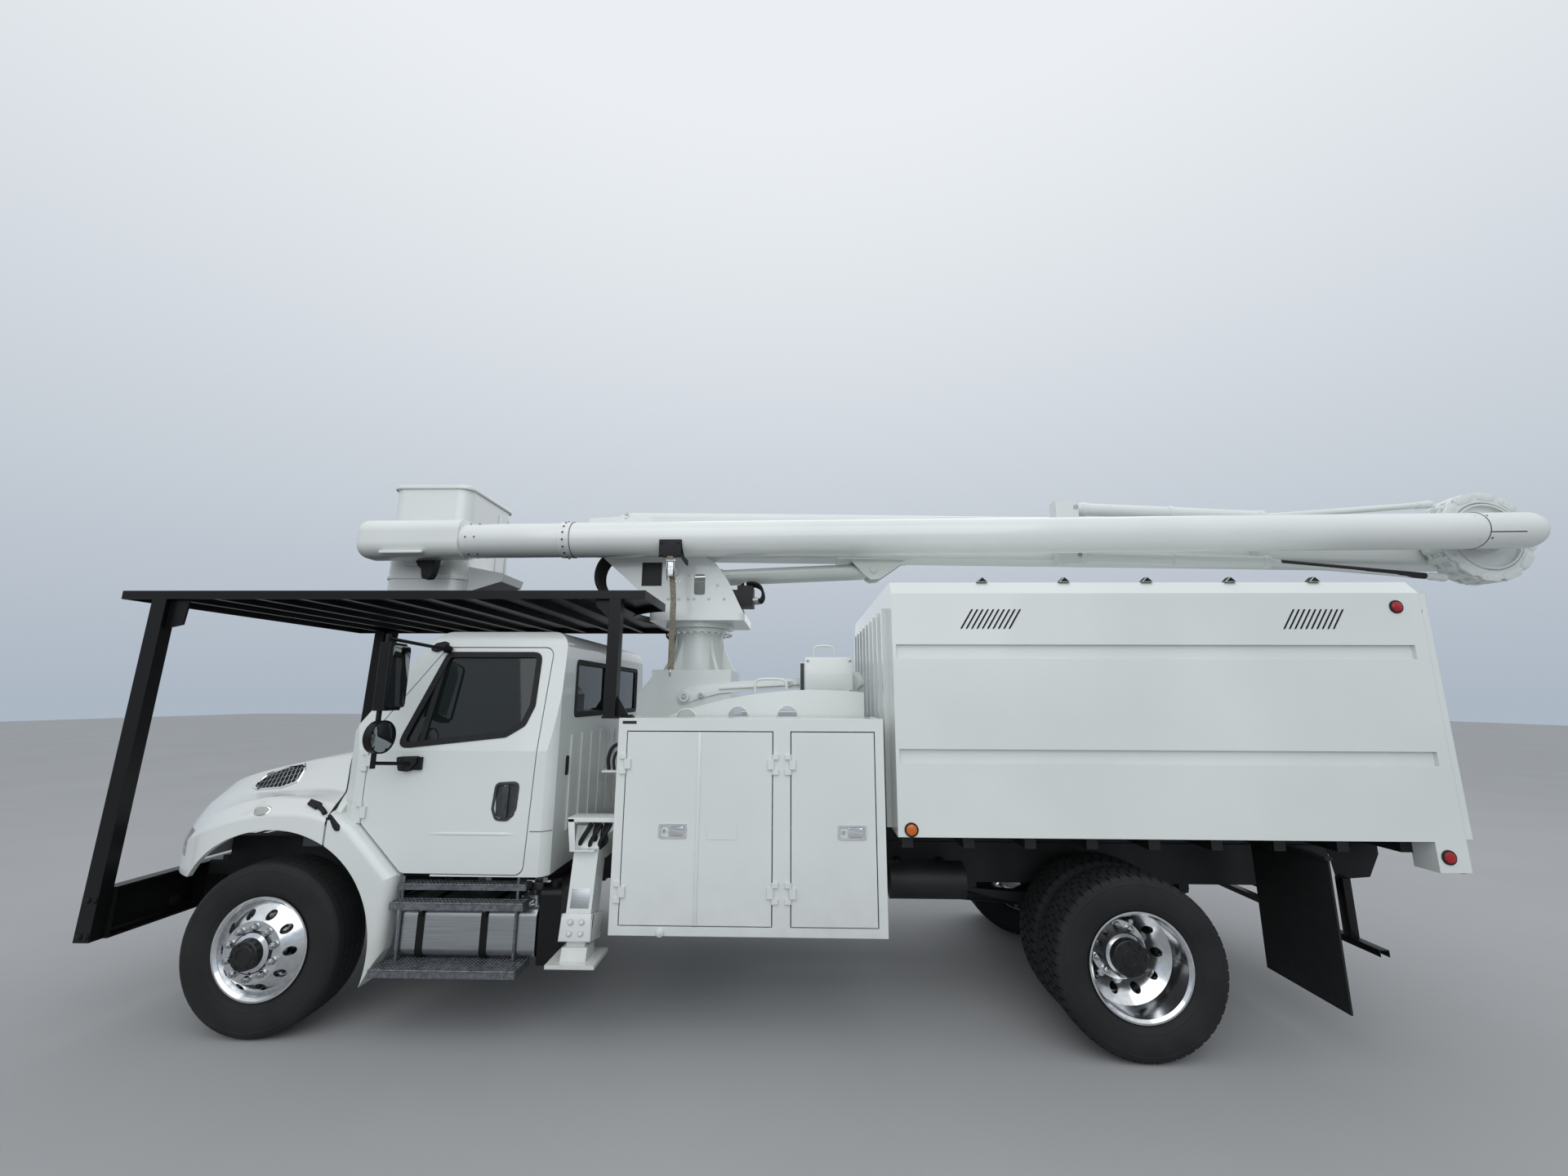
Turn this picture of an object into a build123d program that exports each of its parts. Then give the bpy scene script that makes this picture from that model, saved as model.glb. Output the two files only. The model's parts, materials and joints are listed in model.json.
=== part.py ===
from build123d import *
import math
import os

# A day-cab forestry bucket truck: over-centre boom with its two arms side by side, a steel head
# guard over the cab, a pedestal behind it, tool lockers and a closed chip box.
# Millimetres. X runs rearward, -Y is the driver's side and Z is up from the ground.
# Stations (x) below are measured from the front axle. The three plane functions shift them so
# that the origin lies on the ground under the middle of the whole vehicle.

# Clearances
pin_gap = 0.08         # running fit of a shaft in its bore
fit_gap = 0.4          # seat of one piece on another
door_gap = 6           # gap round a door leaf
hinge_radius = 8       # distance of a leaf's hinge axis from the face it lies in
hinge_pin = 4

# Running gear
wheelbase = 5310
tyre_radius = 505
tyre_width = 279
tyre_bore = 287.4      # radius of the bead seat in the tyre
rim_width = 203
front_track_half = 996
dual_spacing = 330
rear_outer_half = 1080
kingpin_half = 830
kingpin_radius = 28
front_spindle_radius = 46
rear_spindle_radius = 60

# Chassis frame
rail_half = 432
rail_height = 270
rail_flange = 90
rail_wall = 10
rail_top = 1010
rail_front = -900
rail_rear = 7080

# Cab
cab_front = 372
cab_back = 1740
cab_floor = 925
cab_roof = 2483
cab_half = 1085
cab_wall = 55
cowl_z = 1800
roof_front = 850
belt_z = 1690
roof_half = 975
glass_thickness = 6
cab_hinge_x = 512
cab_hinge_rows = (1270, 1590)   # lower edges of the cab doors' hinges

# Hood
hood_rear = 335         # rear end of the hood's fenders
hood_rear_top = 205     # rear end of the bonnet at the foot of the windscreen
hood_gap = 12           # between the hood and the cab
hood_skin = 35
hood_bottom = 900
hood_hinge_x = -930
hood_hinge_z = 852
hood_pin = 12
arch_radius = 700
fender_half = 1150

# Head guard
guard_front = -1325
guard_rear = 2291
guard_half = 1120
guard_top = 2745
guard_edge = 58
guard_sheet = 8
guard_notch = 545
post_wide = 78
rear_post_x = 2050

# Steps, tanks
tank_front = 815
tank_rear = 1690
tank_half = 1065

# Outriggers
outrigger_x = 1990
outrigger_tilt = 12
leg_size = 112
sleeve_size = 152
pad_size = 290
pad_z = 485
leg_foot_y = 1150

# Pedestal and turntable
pedestal_x = 2480
pedestal_radius = 200
pedestal_top = 2598
bearing_radius = 285
turntable_base_z = 2640
plate_outer = 330
plate_thick = 25
boom_pivot_x = 1900
boom_pivot_z = 3420
boom_pin_radius = 60
lift_eye_x = 2300
lift_eye_z = 3040

# Booms
elbow_x = 8800
elbow_z = 3316
elbow_shaft_radius = 55
lower_width = 300
lower_height = 385
lift_pin_x = 3960
lift_pin_z = 3111
upper_y = -510
upper_radius = 140
upper_slope = 0.45     # degrees that the tip hangs below the elbow
tip_reach = 8940       # elbow to the front of the tip cover
cap_reach = 198
chain_radius = 370
drum_near = -345
drum_far = -175
barrel_radius = 70
rod_radius = 38

# Bucket
bucket_x = (-150, 543)
bucket_y = (-300, 500)
bucket_z = (2840, 3810)
bucket_wall = 12
bucket_corner = 110
bucket_pin_x = 200
bucket_pin_radius = 45

# Lockers
locker_x = (2188, 3848)
locker_outer = 1219
locker_depth = 600
locker_z = (648, 1900)
locker_wall = 40
locker_door = 30
locker_opening_z = (700, 1830)
hinge_rows = (860, 1600)   # lower edges of the lockers' hinges

# Chip box
box_x = (3921, 7262)
box_half = 1219
box_z = (1212, 2790)
box_side_top = 2706
box_bevel = 69
box_wall = 60
sill_top = 1120        # long sills on the rails; the cross bearers lie on them
gate_thick = 44
gate_pin = 6
gate_pin_x = box_x[1] + fit_gap + gate_thick / 2
gate_pin_y = box_half + 26
gate_hinge_rows = (1360, 1940, 2500)   # lower edges of the tailgate's hinges

# Whole length: the guard's front edge to the back of the elbow chain
axle_x = -(guard_front + elbow_x + chain_radius) / 2


def side_plane(y):
    """Plane of a side view: local x is the station, local y the height, and it faces -Y."""
    return Plane(origin=(axle_x, y, 0), x_dir=(1, 0, 0), z_dir=(0, -1, 0))


def floor_plane(z):
    """Plane of a plan view: local x is the station and local y is Y."""
    return Plane(origin=(axle_x, 0, z), x_dir=(1, 0, 0), z_dir=(0, 0, 1))


def cross_plane(x):
    """Plane of an end view: local x is Y, local y the height, and it faces the rear."""
    return Plane(origin=(axle_x + x, 0, 0), x_dir=(0, 1, 0), z_dir=(1, 0, 0))


def slab(x, y, z, mode=Mode.ADD):
    """Box between pairs of stations, widths and heights."""
    with Locations((axle_x + (x[0] + x[1]) / 2, (y[0] + y[1]) / 2, (z[0] + z[1]) / 2)):
        Box(abs(x[1] - x[0]), abs(y[1] - y[0]), abs(z[1] - z[0]), mode=mode)


def outline(plane, points, radius=0, grow=0):
    """Closed outline on a plane, its corners rounded, grown or shrunk all round."""
    with BuildSketch(plane) as face:
        with BuildLine():
            Polyline(*points, close=True)
        make_face()
        if radius:
            fillet(face.vertices(), radius)
        if grow:
            offset(amount=grow, kind=Kind.INTERSECTION, mode=Mode.REPLACE)
    return face.sketch


def side_form(points, y, radius=0, grow=0, mode=Mode.ADD):
    """Side-view outline (station, height) carried from y[0] to y[1]."""
    extrude(outline(side_plane(max(y)), points, radius, grow), amount=abs(y[1] - y[0]), mode=mode)


def end_form(points, x, radius=0, grow=0, mode=Mode.ADD):
    """End-view outline (y, height) carried from station x[0] to x[1]."""
    extrude(outline(cross_plane(x[0]), points, radius, grow), amount=x[1] - x[0], mode=mode)


def plan_form(points, z, radius=0, grow=0, mode=Mode.ADD):
    """Plan-view outline (station, y) carried from height z[0] to z[1]."""
    extrude(outline(floor_plane(z[0]), points, radius, grow), amount=z[1] - z[0], mode=mode)


def disc_y(x, z, radius, y, mode=Mode.ADD):
    """Cylinder across the truck."""
    with BuildSketch(side_plane(max(y))) as face:
        with Locations((x, z)):
            Circle(radius)
    extrude(face.sketch, amount=abs(y[1] - y[0]), mode=mode)


def disc_z(x, y, radius, z, mode=Mode.ADD):
    """Upright cylinder."""
    with BuildSketch(floor_plane(z[0])) as face:
        with Locations((x, y)):
            Circle(radius)
    extrude(face.sketch, amount=z[1] - z[0], mode=mode)


def disc_x(y, z, radius, x, mode=Mode.ADD):
    """Cylinder along the truck."""
    with BuildSketch(cross_plane(x[0])) as face:
        with Locations((y, z)):
            Circle(radius)
    extrude(face.sketch, amount=x[1] - x[0], mode=mode)


def bar(start, end, radius, mode=Mode.ADD):
    """Round bar between two points (station, y, height)."""
    a = Vector(axle_x + start[0], start[1], start[2])
    b = Vector(axle_x + end[0], end[1], end[2])
    with BuildSketch(Plane(origin=a, z_dir=b - a)) as face:
        Circle(radius)
    extrude(face.sketch, amount=(b - a).length, mode=mode)


def leaf_knuckle(x, y, side, toward, z):
    """Hinge knuckle on an upright leaf: axis at (x, y), leaf lying towards +x or -x of it."""
    disc_z(x, y, hinge_radius - 0.5, z)
    slab(sorted((x, x + toward * 34)), sorted((y - side * (hinge_radius - 1), y + side * 6)), z)
    slab(sorted((x + toward * 8, x + toward * 34)), sorted((y - side * (hinge_radius + 6), y)), z)
    disc_z(x, y, hinge_pin + pin_gap, (z[0] - 5, z[1] + 5), mode=Mode.SUBTRACT)


def frame_knuckles(x, y, side, toward, z):
    """The pin and the two lugs that carry a leaf's knuckle on the fixed side."""
    disc_z(x, y, hinge_pin, (z[0] - 30, z[1] + 30))
    for lug in ((z[0] - 30, z[0] - fit_gap), (z[1] + fit_gap, z[1] + 30)):
        disc_z(x, y, hinge_radius - 2, lug)
        slab(sorted((x - toward * 34, x - toward * 3)), sorted((y - side * (hinge_radius + 4), y + side * 5)), lug)


def mirrored(points):
    """Half an end or plan outline with y first, completed on the other side."""
    return list(points) + [(-y, other) for y, other in reversed(points)]


def save(piece, name):
    """Label a finished piece and write it."""
    piece.label = name
    export_step(piece, f"parts/{name}.step")


os.makedirs("parts", exist_ok=True)

# Chassis
axle_z = tyre_radius
rail_bottom = rail_top - rail_height
rail_inner = rail_half - rail_flange

with BuildPart() as chassis_frame:
    for side in (-1, 1):
        channel = [
            (side * rail_half, rail_bottom),
            (side * rail_half, rail_top),
            (side * rail_inner, rail_top),
            (side * rail_inner, rail_top - rail_wall),
            (side * (rail_half - rail_wall), rail_top - rail_wall),
            (side * (rail_half - rail_wall), rail_bottom + rail_wall),
            (side * rail_inner, rail_bottom + rail_wall),
            (side * rail_inner, rail_bottom),
        ]
        end_form(channel, (rail_front, rail_rear))
        # Bumper horns below the hood's front edge
        horn = sorted((side * rail_inner, side * rail_half))
        slab((-1050, rail_front + 30), horn, (rail_bottom, hood_hinge_z - 12))
        # Pivot pin of the hood on an ear above the horn
        slab((hood_hinge_x - 25, hood_hinge_x + 25), horn, (hood_hinge_z - 12, hood_hinge_z + 22))
        disc_y(hood_hinge_x, hood_hinge_z, hood_pin, sorted((side * 294, side * (rail_inner + 10))))
        # Spring hangers: station, height of the spring eye below
        for station, eye_z in ((-720, 694), (760, 694), (wheelbase - 750, 704), (wheelbase + 750, 704)):
            slab((station - 35, station + 35), horn, (eye_z + fit_gap, rail_bottom))
    # Crossmembers, seated between the rails
    web = rail_half - rail_wall - fit_gap
    for station in (-820, 1250, 2900, 4400, 6200, rail_rear - 60):
        slab((station - 60, station + 60), (-web, web), (rail_bottom + 40, rail_top - 40))
    # Hitch plate with its bolting pad, and tow eyes at the rear
    slab((rail_rear + fit_gap, rail_rear + 20), (-rail_half, rail_half), (520, rail_top))
    with BuildSketch(cross_plane(rail_rear + 20)) as hitch_base:
        with Locations((0, 640)):
            Rectangle(130, 90)
    extrude(hitch_base.sketch, amount=25)
    # Four bolt holes of the pintle, 3.375 by 1.75 inch
    with BuildSketch(cross_plane(rail_rear)) as hitch_holes:
        with Locations((0, 640)):
            with GridLocations(85.7, 44.5, 2, 2):
                Circle(6.75)
    extrude(hitch_holes.sketch, amount=60, mode=Mode.SUBTRACT)
    for side in (-1, 1):
        eye_y = (side * 280 - 12, side * 280 + 12)
        side_form([(rail_rear + 20, 560), (rail_rear + 100, 570), (rail_rear + 100, 640),
                   (rail_rear + 20, 660)], eye_y, radius=10)
        disc_y(rail_rear + 64, 605, 20, eye_y, mode=Mode.SUBTRACT)
save(chassis_frame.part, "chassis_frame")

with BuildPart() as engine_block:
    # Engine, gearbox and drive shaft as one plain piece
    slab((-430, 640), (-300, 300), (620, 1250))
    slab((640, 1160), (-170, 170), (600, 890))
    bar((1150, 0, 700), (3000, 0, 660), 46)
    bar((2960, 0, 661), (wheelbase - 304, 0, tyre_radius), 46)
    disc_x(0, 661, 80, (2950, 3020))
    slab((2955, 3015), (-130, 130), (661, rail_top - rail_height + 40 - fit_gap))
save(engine_block.part, "engine_block")

with BuildPart() as front_axle:
    beam = [(0, 400), (590, 400), (680, 460), (kingpin_half, 460),
            (kingpin_half, 550), (680, 550), (590, 490), (0, 490)]
    for side in (-1, 1):
        end_form([(side * y, z) for y, z in beam], (-48, 48))
        end_form([(side * y, z) for y, z in ((0, 416), (583, 416), (655, 464), (655, 528), (583, 474), (0, 474))],
                 (-48, -16), mode=Mode.SUBTRACT)
        end_form([(side * y, z) for y, z in ((0, 416), (583, 416), (655, 464), (655, 528), (583, 474), (0, 474))],
                 (16, 48), mode=Mode.SUBTRACT)
        disc_z(0, side * kingpin_half, 55, (455, 555))
        disc_z(0, side * kingpin_half, kingpin_radius, (455, 555), mode=Mode.SUBTRACT)
        spring_y = (side * 387 - 38, side * 387 + 38)
        with BuildSketch(side_plane(max(spring_y))) as leaves:
            with BuildLine():
                ThreePointArc((-755, 694), (0, 560), (795, 694))
                Line((795, 694), (795, 676))
                ThreePointArc((795, 676), (0, 492), (-755, 676))
                Line((-755, 676), (-755, 694))
            make_face()
        extrude(leaves.sketch, amount=76)
        slab((-80, 80), (spring_y[0] - 6, spring_y[1] + 6), (484, 500))
        slab((-70, 70), spring_y, (550, 576))
save(front_axle.part, "front_axle")

with BuildPart() as rear_axle:
    dual_middle = rear_outer_half - dual_spacing / 2
    disc_y(wheelbase, axle_z, 78, (-585, 585))
    disc_y(wheelbase, axle_z, rear_spindle_radius, (-dual_middle - 140, dual_middle + 140))
    disc_x(0, axle_z, 205, (wheelbase - 95, wheelbase + 95))
    # Domed cover behind and pinion nose in front
    for near, far, wide, narrow in ((95, 165, 190, 110), (-95, -300, 150, 70)):
        with BuildSketch(cross_plane(wheelbase + near)) as foot:
            with Locations((0, axle_z)):
                Circle(wide)
        with BuildSketch(cross_plane(wheelbase + far)) as nose:
            with Locations((0, axle_z)):
                Circle(narrow)
        loft([foot.sketch, nose.sketch])
    for side in (-1, 1):
        spring_y = (side * 387 - 38, side * 387 + 38)
        with BuildSketch(side_plane(max(spring_y))) as leaves:
            with BuildLine():
                ThreePointArc((wheelbase - 785, 704), (wheelbase, 665), (wheelbase + 785, 704))
                Line((wheelbase + 785, 704), (wheelbase + 785, 684))
                ThreePointArc((wheelbase + 785, 684), (wheelbase, 575), (wheelbase - 785, 684))
                Line((wheelbase - 785, 684), (wheelbase - 785, 704))
            make_face()
        extrude(leaves.sketch, amount=76)
        slab((wheelbase - 85, wheelbase + 85), (spring_y[0] - 6, spring_y[1] + 6), (560, 600))
        # Brake chamber behind the housing
        disc_x(side * 520, axle_z + 30, 75, (wheelbase + 90, wheelbase + 240))
        slab((wheelbase + 40, wheelbase + 95), (side * 520 - 20, side * 520 + 20), (axle_z - 20, axle_z + 60))
save(rear_axle.part, "rear_axle")

with BuildPart() as exhaust:
    # Muffler on the curb side behind the lockers, pipe inside the rail, outlet before the wheels
    muffler_y = 760
    disc_x(muffler_y, 820, 140, (4010, 4500))
    # pipe's bend points: station, y and height
    pipe = ((660, 250, 660), (3900, 250, 660), (3930, 640, 680), (4020, muffler_y, 800))
    tail = ((4490, muffler_y, 820), (4600, muffler_y, 760), (4640, 1150, 700))
    for run in (pipe, tail):
        for start, end in zip(run, run[1:]):
            bar(start, end, 48)
        for bend in run[1:-1]:
            with Locations((axle_x + bend[0], bend[1], bend[2])):
                Sphere(48)
    for station in (4080, 4400):
        slab((station - 20, station + 20), (rail_half + fit_gap, muffler_y), (860, 900))
save(exhaust.part, "exhaust")

with BuildPart() as air_tanks:
    # station, y and radius of each tank
    for station, y, radius in ((4180, -700, 118), (6120, 650, 105)):
        disc_x(y, 830, radius, (station - 250, station + 250))
        for strap in (station - 150, station + 150):
            slab((strap - 20, strap + 20), sorted((y, math.copysign(rail_half + fit_gap, y))), (880, 910))
save(air_tanks.part, "air_tanks")

with BuildPart() as front_bumper:
    bumper_half = guard_half - post_wide - fit_gap
    end_x = (-1150, -1050 - fit_gap)
    side_form([(end_x[0], 545), (end_x[0], 815), (end_x[0] + 14, 830), (end_x[1], 830), (end_x[1], 818),
               (end_x[0] + 26, 818), (end_x[0] + 12, 804), (end_x[0] + 12, 556), (end_x[0] + 26, 540),
               (end_x[1], 540), (end_x[1], 527), (end_x[0] + 14, 527)], (-bumper_half, bumper_half))
    for side in (-1, 1):
        slab((end_x[0] + 6, end_x[1]), sorted((side * (rail_inner - 20), side * rail_half)), (535, 822))
        slab((end_x[0] + 6, end_x[1]), sorted((side * (bumper_half - 14), side * bumper_half)), (535, 822))
        disc_x(side * 560, 600, 30, (end_x[0] - 5, end_x[0] + 20), mode=Mode.SUBTRACT)
save(front_bumper.part, "front_bumper")


# Form of the hood and, behind it, of the cowl that carries its lines on to the cab
# station and crown height, then half width and height of the bonnet's shoulder, the crease at its
# foot, the fender's crest and the fender's side
hood_stations = (
    (-965, 1284, 400, 1256, 500, 1188, 560, 1128, 604, 1060),
    (-895, 1396, 520, 1362, 672, 1262, 740, 1176, 790, 1085),
    (-720, 1480, 640, 1442, 800, 1322, 905, 1215, 975, 1100),
    (-450, 1556, 740, 1516, 868, 1376, 1010, 1306, fender_half - 38, 1200),
    (-150, 1620, 795, 1580, 905, 1404, 1056, 1382, fender_half, 1285),
    (100, 1668, 825, 1628, 935, 1416, 1070, 1390, fender_half, 1300),
    (cab_front + 10, 1726, 868, 1682, 990, 1404, 1070, 1322, fender_half, 1235),
)
section_radius = 42     # rounding of those four edges


def hood_form(inset):
    """The hood's outer form, or its inner one, which runs out at the bottom and the rear."""
    with BuildPart() as form:
        sections = []
        for number, row in enumerate(hood_stations):
            station, crown_z = row[:2]
            bottom = hood_bottom - (60 if inset else 0)
            if inset and number == 0:
                station = station + inset
            if inset and number == len(hood_stations) - 1:
                station = station + 10
            side = [(row[i] - inset, row[i + 1] - inset) for i in (2, 4, 6, 8)]
            side.append((side[-1][0], bottom))
            with BuildSketch(cross_plane(station)) as section:
                with BuildLine():
                    ThreePointArc((-side[0][0], side[0][1]), (0, crown_z - inset), side[0])
                    Polyline(*side, *[(-half, z) for half, z in reversed(side)])
                make_face()
                fillet(section.vertices().sort_by(Axis.Y)[2:], section_radius)
            sections.append(section.sketch)
        loft(sections)
    return form.part


def rear_edge(gap):
    """Side view of what lies behind the hood's leaning rear edge, moved back by a gap."""
    low_z = 1330
    high_z = 1720
    return [(hood_rear + gap, hood_bottom - 100), (hood_rear + gap, low_z), (hood_rear_top + gap, high_z),
            (hood_rear_top + gap, 2000), (cab_front + 200, 2000), (cab_front + 200, hood_bottom - 100)]


hood_outer = hood_form(0)
hood_inner = hood_form(hood_skin)


# Cab
def cab_form(inset):
    """The cab's outer form, or the same form set in all round by one distance."""
    front = cab_front + inset
    back = cab_back - inset
    floor = cab_floor + inset
    roof = cab_roof - inset
    half = cab_half - inset
    lean = (roof_front - cab_front) / (cab_roof - cowl_z)
    glass_x = roof_front + inset * 1.22 - lean * inset
    with BuildPart() as form:
        with BuildSketch(side_plane(half + 50)) as side_view:
            with BuildLine():
                Polyline((front, cowl_z), (front, 1180 + inset * 0.5), (590 + inset * 0.5, floor),
                         (back, floor), (back, roof), (glass_x, roof), close=True)
            make_face()
            roof_corners = side_view.vertices().group_by(Axis.Y)[-1]
            fillet(roof_corners, 120 - inset)
        extrude(side_view.sketch, amount=2 * half + 100)
        # End and plan outlines stand past the side outline, so that no two faces lie in one plane
        half_end = [(half, floor - 60), (half, belt_z), (roof_half - inset - 8, roof + 40)]
        with BuildSketch(cross_plane(cab_front - 50)) as end_view:
            with BuildLine():
                Polyline(*mirrored(half_end), close=True)
            make_face()
            fillet(end_view.vertices().group_by(Axis.Y)[-1], 170 - inset)
        extrude(end_view.sketch, amount=cab_back - cab_front + 100, mode=Mode.INTERSECT)
        with BuildSketch(floor_plane(0)) as plan_view:
            with BuildLine():
                Polyline((front - 25, half - 60), (cab_front + 108, half + 20), (back + 20, half + 20),
                         (back + 20, -half - 20), (cab_front + 108, -half - 20), (front - 25, -half + 60), close=True)
            make_face()
            fillet(plan_view.vertices().group_by(Axis.X)[-1], 150 - inset)
            fillet(plan_view.vertices().group_by(Axis.X)[0], 80)
        extrude(plan_view.sketch, amount=3000, mode=Mode.INTERSECT)
    return form.part


# Side-view outlines on the cab: the door and its window
door_outline = [(505, 1240), (808, 937), (1590, 932), (1652, 2372), (905, 2372), (512, 1800)]
door_window = [(700, 1712), (925, 2325), (1560, 2325), (1558, 1980), (1512, 1858), (1400, 1788)]
rear_windows = ((-790, -130), (130, 790))
rear_window_z = (1905, 2290)
screen_outline = [(-880, 1850), (-820, 2400), (820, 2400), (880, 1850)]
cab_outer = cab_form(0)
cab_inner = cab_form(cab_wall)
glass_outer = cab_form(12)
glass_inner = cab_form(12 + glass_thickness)

with BuildPart() as cowl:
    # Painted cowl between the hood's rear edge and the cab, in the hood's own lines
    cowl_low_z = 1240
    add(hood_outer)
    add(hood_inner, mode=Mode.SUBTRACT)
    side_form(rear_edge(hood_gap), (-fender_half - 20, fender_half + 20), mode=Mode.INTERSECT)
    slab((hood_rear_top, cab_front + 9), (-fender_half - 20, fender_half + 20), (cowl_low_z, 2000), mode=Mode.INTERSECT)

with BuildPart() as rear_fenders:
    # Fixed rear halves of the front fenders, rounded on their outer edge as the hood's front halves are
    fender_top = (hood_rear + hood_gap, 1318)
    for side in (-1, 1):
        quarter = [fender_top, (505, 1235), (800, 935), (800, 880), (770, 500), (662, 292),
                   (fender_top[0], 292)]
        outline_y = sorted((side * (cab_half - cab_wall), side * fender_half))
        side_form(quarter, outline_y)
        disc_y(0, axle_z, arch_radius, sorted((side * (cab_half - cab_wall - 10), side * (fender_half + 10))),
               mode=Mode.SUBTRACT)
    crest = [edge for edge in rear_fenders.edges() if abs(abs(edge.center().Y) - fender_half) < 0.1
             and edge.center().Z > 600 and edge.geom_type == GeomType.LINE and edge.length > 60
             and abs((edge @ 0).X - (edge @ 1).X) > 1]
    fillet(crest, 62)

with BuildPart() as cab_shell:
    add(cab_outer)
    add(cab_inner, mode=Mode.SUBTRACT)
    add(cowl.part)
    add(rear_fenders.part)
    # Floor tunnel over the frame, and the engine's recess under the dash
    slab((385, 1700), (-470, 470), (960, 1100))
    slab((cab_front + 20, 670), (-350, 350), (1060, 1290))
    slab((350, 1760), (-445, 445), (900, 1045), mode=Mode.SUBTRACT)
    slab((350, 652), (-322, 322), (1040, 1262), mode=Mode.SUBTRACT)
    # Cab mounts on the frame rails
    for station in (760, 1620):
        for side in (-1, 1):
            slab((station - 40, station + 40), sorted((side * 355, side * 425)), (rail_top + fit_gap, 1050))
    # Door openings, windscreen and rear windows
    for y in ((-cab_half - 60, -600), (600, cab_half + 60)):
        side_form(door_outline, y, radius=60, mode=Mode.SUBTRACT)
    for side in (-1, 1):
        # The floor runs out to the doors
        sill_y = sorted((side * 590, side * (cab_half - cab_wall - 1)))
        slab((640, cab_back - 20), sill_y, (cab_floor, cab_floor + cab_wall))
    end_form(screen_outline, (cab_front - 20, roof_front + 80), radius=50, mode=Mode.SUBTRACT)
    for window in rear_windows:
        low, high = rear_window_z
        end_form([(window[0], low), (window[1], low), (window[1], high), (window[0], high)],
                 (cab_back - cab_wall - 30, cab_back + 20), radius=40, mode=Mode.SUBTRACT)
    # Pressed ribs below the rear windows
    for number in range(9):
        rib_y = -800 + number * 200
        slab((cab_back - 2, cab_back + 10), (rib_y - 22, rib_y + 22), (1150, 1780))
    # The front fenders leave the door and the foot space open
    for side in (-1, 1):
        inner_y = sorted((side * (cab_half - cab_wall), side * cab_half))
        side_form([(505, 1235), (800, 935), (808, 925), (1000, 925), (1000, 1235)], inner_y, mode=Mode.SUBTRACT)
    for side in (-1, 1):
        for low in cab_hinge_rows:
            frame_knuckles(cab_hinge_x, side * (cab_half + hinge_radius), side, 1, (low, low + 70))
save(cab_shell.part, "cab_shell")

with BuildPart() as cab_glass:
    end_form(screen_outline, (cab_front - 20, roof_front + 80), radius=50, grow=-fit_gap)
    for window in rear_windows:
        low, high = rear_window_z
        end_form([(window[0], low), (window[1], low), (window[1], high), (window[0], high)],
                 (cab_back - cab_wall - 30, cab_back + 20), radius=40, grow=-fit_gap)
    add(glass_outer, mode=Mode.INTERSECT)
    add(glass_inner, mode=Mode.SUBTRACT)
save(cab_glass.part, "cab_glass")

with BuildPart() as cab_seats:
    for seat_y in (-480, 480):
        slab((1180, 1600), (seat_y - 190, seat_y + 190), (1100 + fit_gap, 1215))
        side_form([(1120, 1210), (1120, 1310), (1560, 1330), (1640, 1960), (1700 - 30, 1960),
                   (1660, 1210)], (seat_y - 250, seat_y + 250), radius=12)
        slab((1600, 1665), (seat_y - 130, seat_y + 130), (1960, 2130))
save(cab_seats.part, "cab_seats")

with BuildPart() as cab_dash:
    dash_front = cab_front + cab_wall + fit_gap
    side_form([(dash_front, 1300), (dash_front, 1660), (560, 1680), (740, 1600), (760, 1480), (600, 1300)],
              (-890, 890), radius=10)
    # Steering column and wheel in front of the left seat
    column_foot = Vector(axle_x + 640, -480, 1450)
    column_dir = Vector(0.72, 0, 0.5).normalized()
    hub = column_foot + column_dir * 390
    with BuildSketch(Plane(origin=column_foot, z_dir=column_dir)) as column:
        Circle(32)
    extrude(column.sketch, amount=395)
    with BuildSketch(Plane(origin=hub, x_dir=(0, 1, 0), z_dir=column_dir)) as spokes:
        Circle(60)
        Rectangle(450, 40)
        with Locations((0, -110)):
            Rectangle(36, 220)
    extrude(spokes.sketch, amount=16)
    with Locations(Plane(origin=hub + column_dir * 8, z_dir=column_dir)):
        Torus(225, 16)
save(cab_dash.part, "cab_dash")


# Hood with the front halves of the fenders
mesh_outer = hood_form(10)
mesh_inner = hood_form(22)
lamp_y = (620, 1010)
lamp_z = (1010, 1165)
lamp_x = (-985, -640)
grille_half = 370
grille_z = (925, 1200)
intake_outline = [(-462, 1423), (-410, 1490), (-262, 1548), (-134, 1566), (-104, 1530), (-104, 1462),
                  (-206, 1424), (-391, 1408)]

with BuildPart() as hood:
    add(hood_outer)
    add(hood_inner, mode=Mode.SUBTRACT)
    for side in (-1, 1):
        disc_y(0, axle_z, arch_radius, sorted((side * 600, side * (fender_half + 20))), mode=Mode.SUBTRACT)
        slab(lamp_x, sorted((side * lamp_y[0], side * lamp_y[1])), lamp_z, mode=Mode.SUBTRACT)
        side_form(intake_outline, sorted((side * 700, side * 1100)), radius=18, mode=Mode.SUBTRACT)
    slab((-990, -920), (-grille_half, grille_half), grille_z, mode=Mode.SUBTRACT)
    side_form(rear_edge(0), (-fender_half - 20, fender_half + 20), mode=Mode.SUBTRACT)
    # Pivot ears under the nose
    for side in (-1, 1):
        ear = sorted((side * 300, side * 330))
        side_form([(hood_hinge_x - 22, hood_hinge_z - 20), (hood_hinge_x + 28, hood_hinge_z - 20),
                   (hood_hinge_x + 28, hood_bottom + 18), (hood_hinge_x - 22, hood_bottom + 18)], ear, radius=8)
        disc_y(hood_hinge_x, hood_hinge_z, hood_pin + pin_gap, sorted((side * 290, side * 340)), mode=Mode.SUBTRACT)
save(hood.part, "hood")

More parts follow.
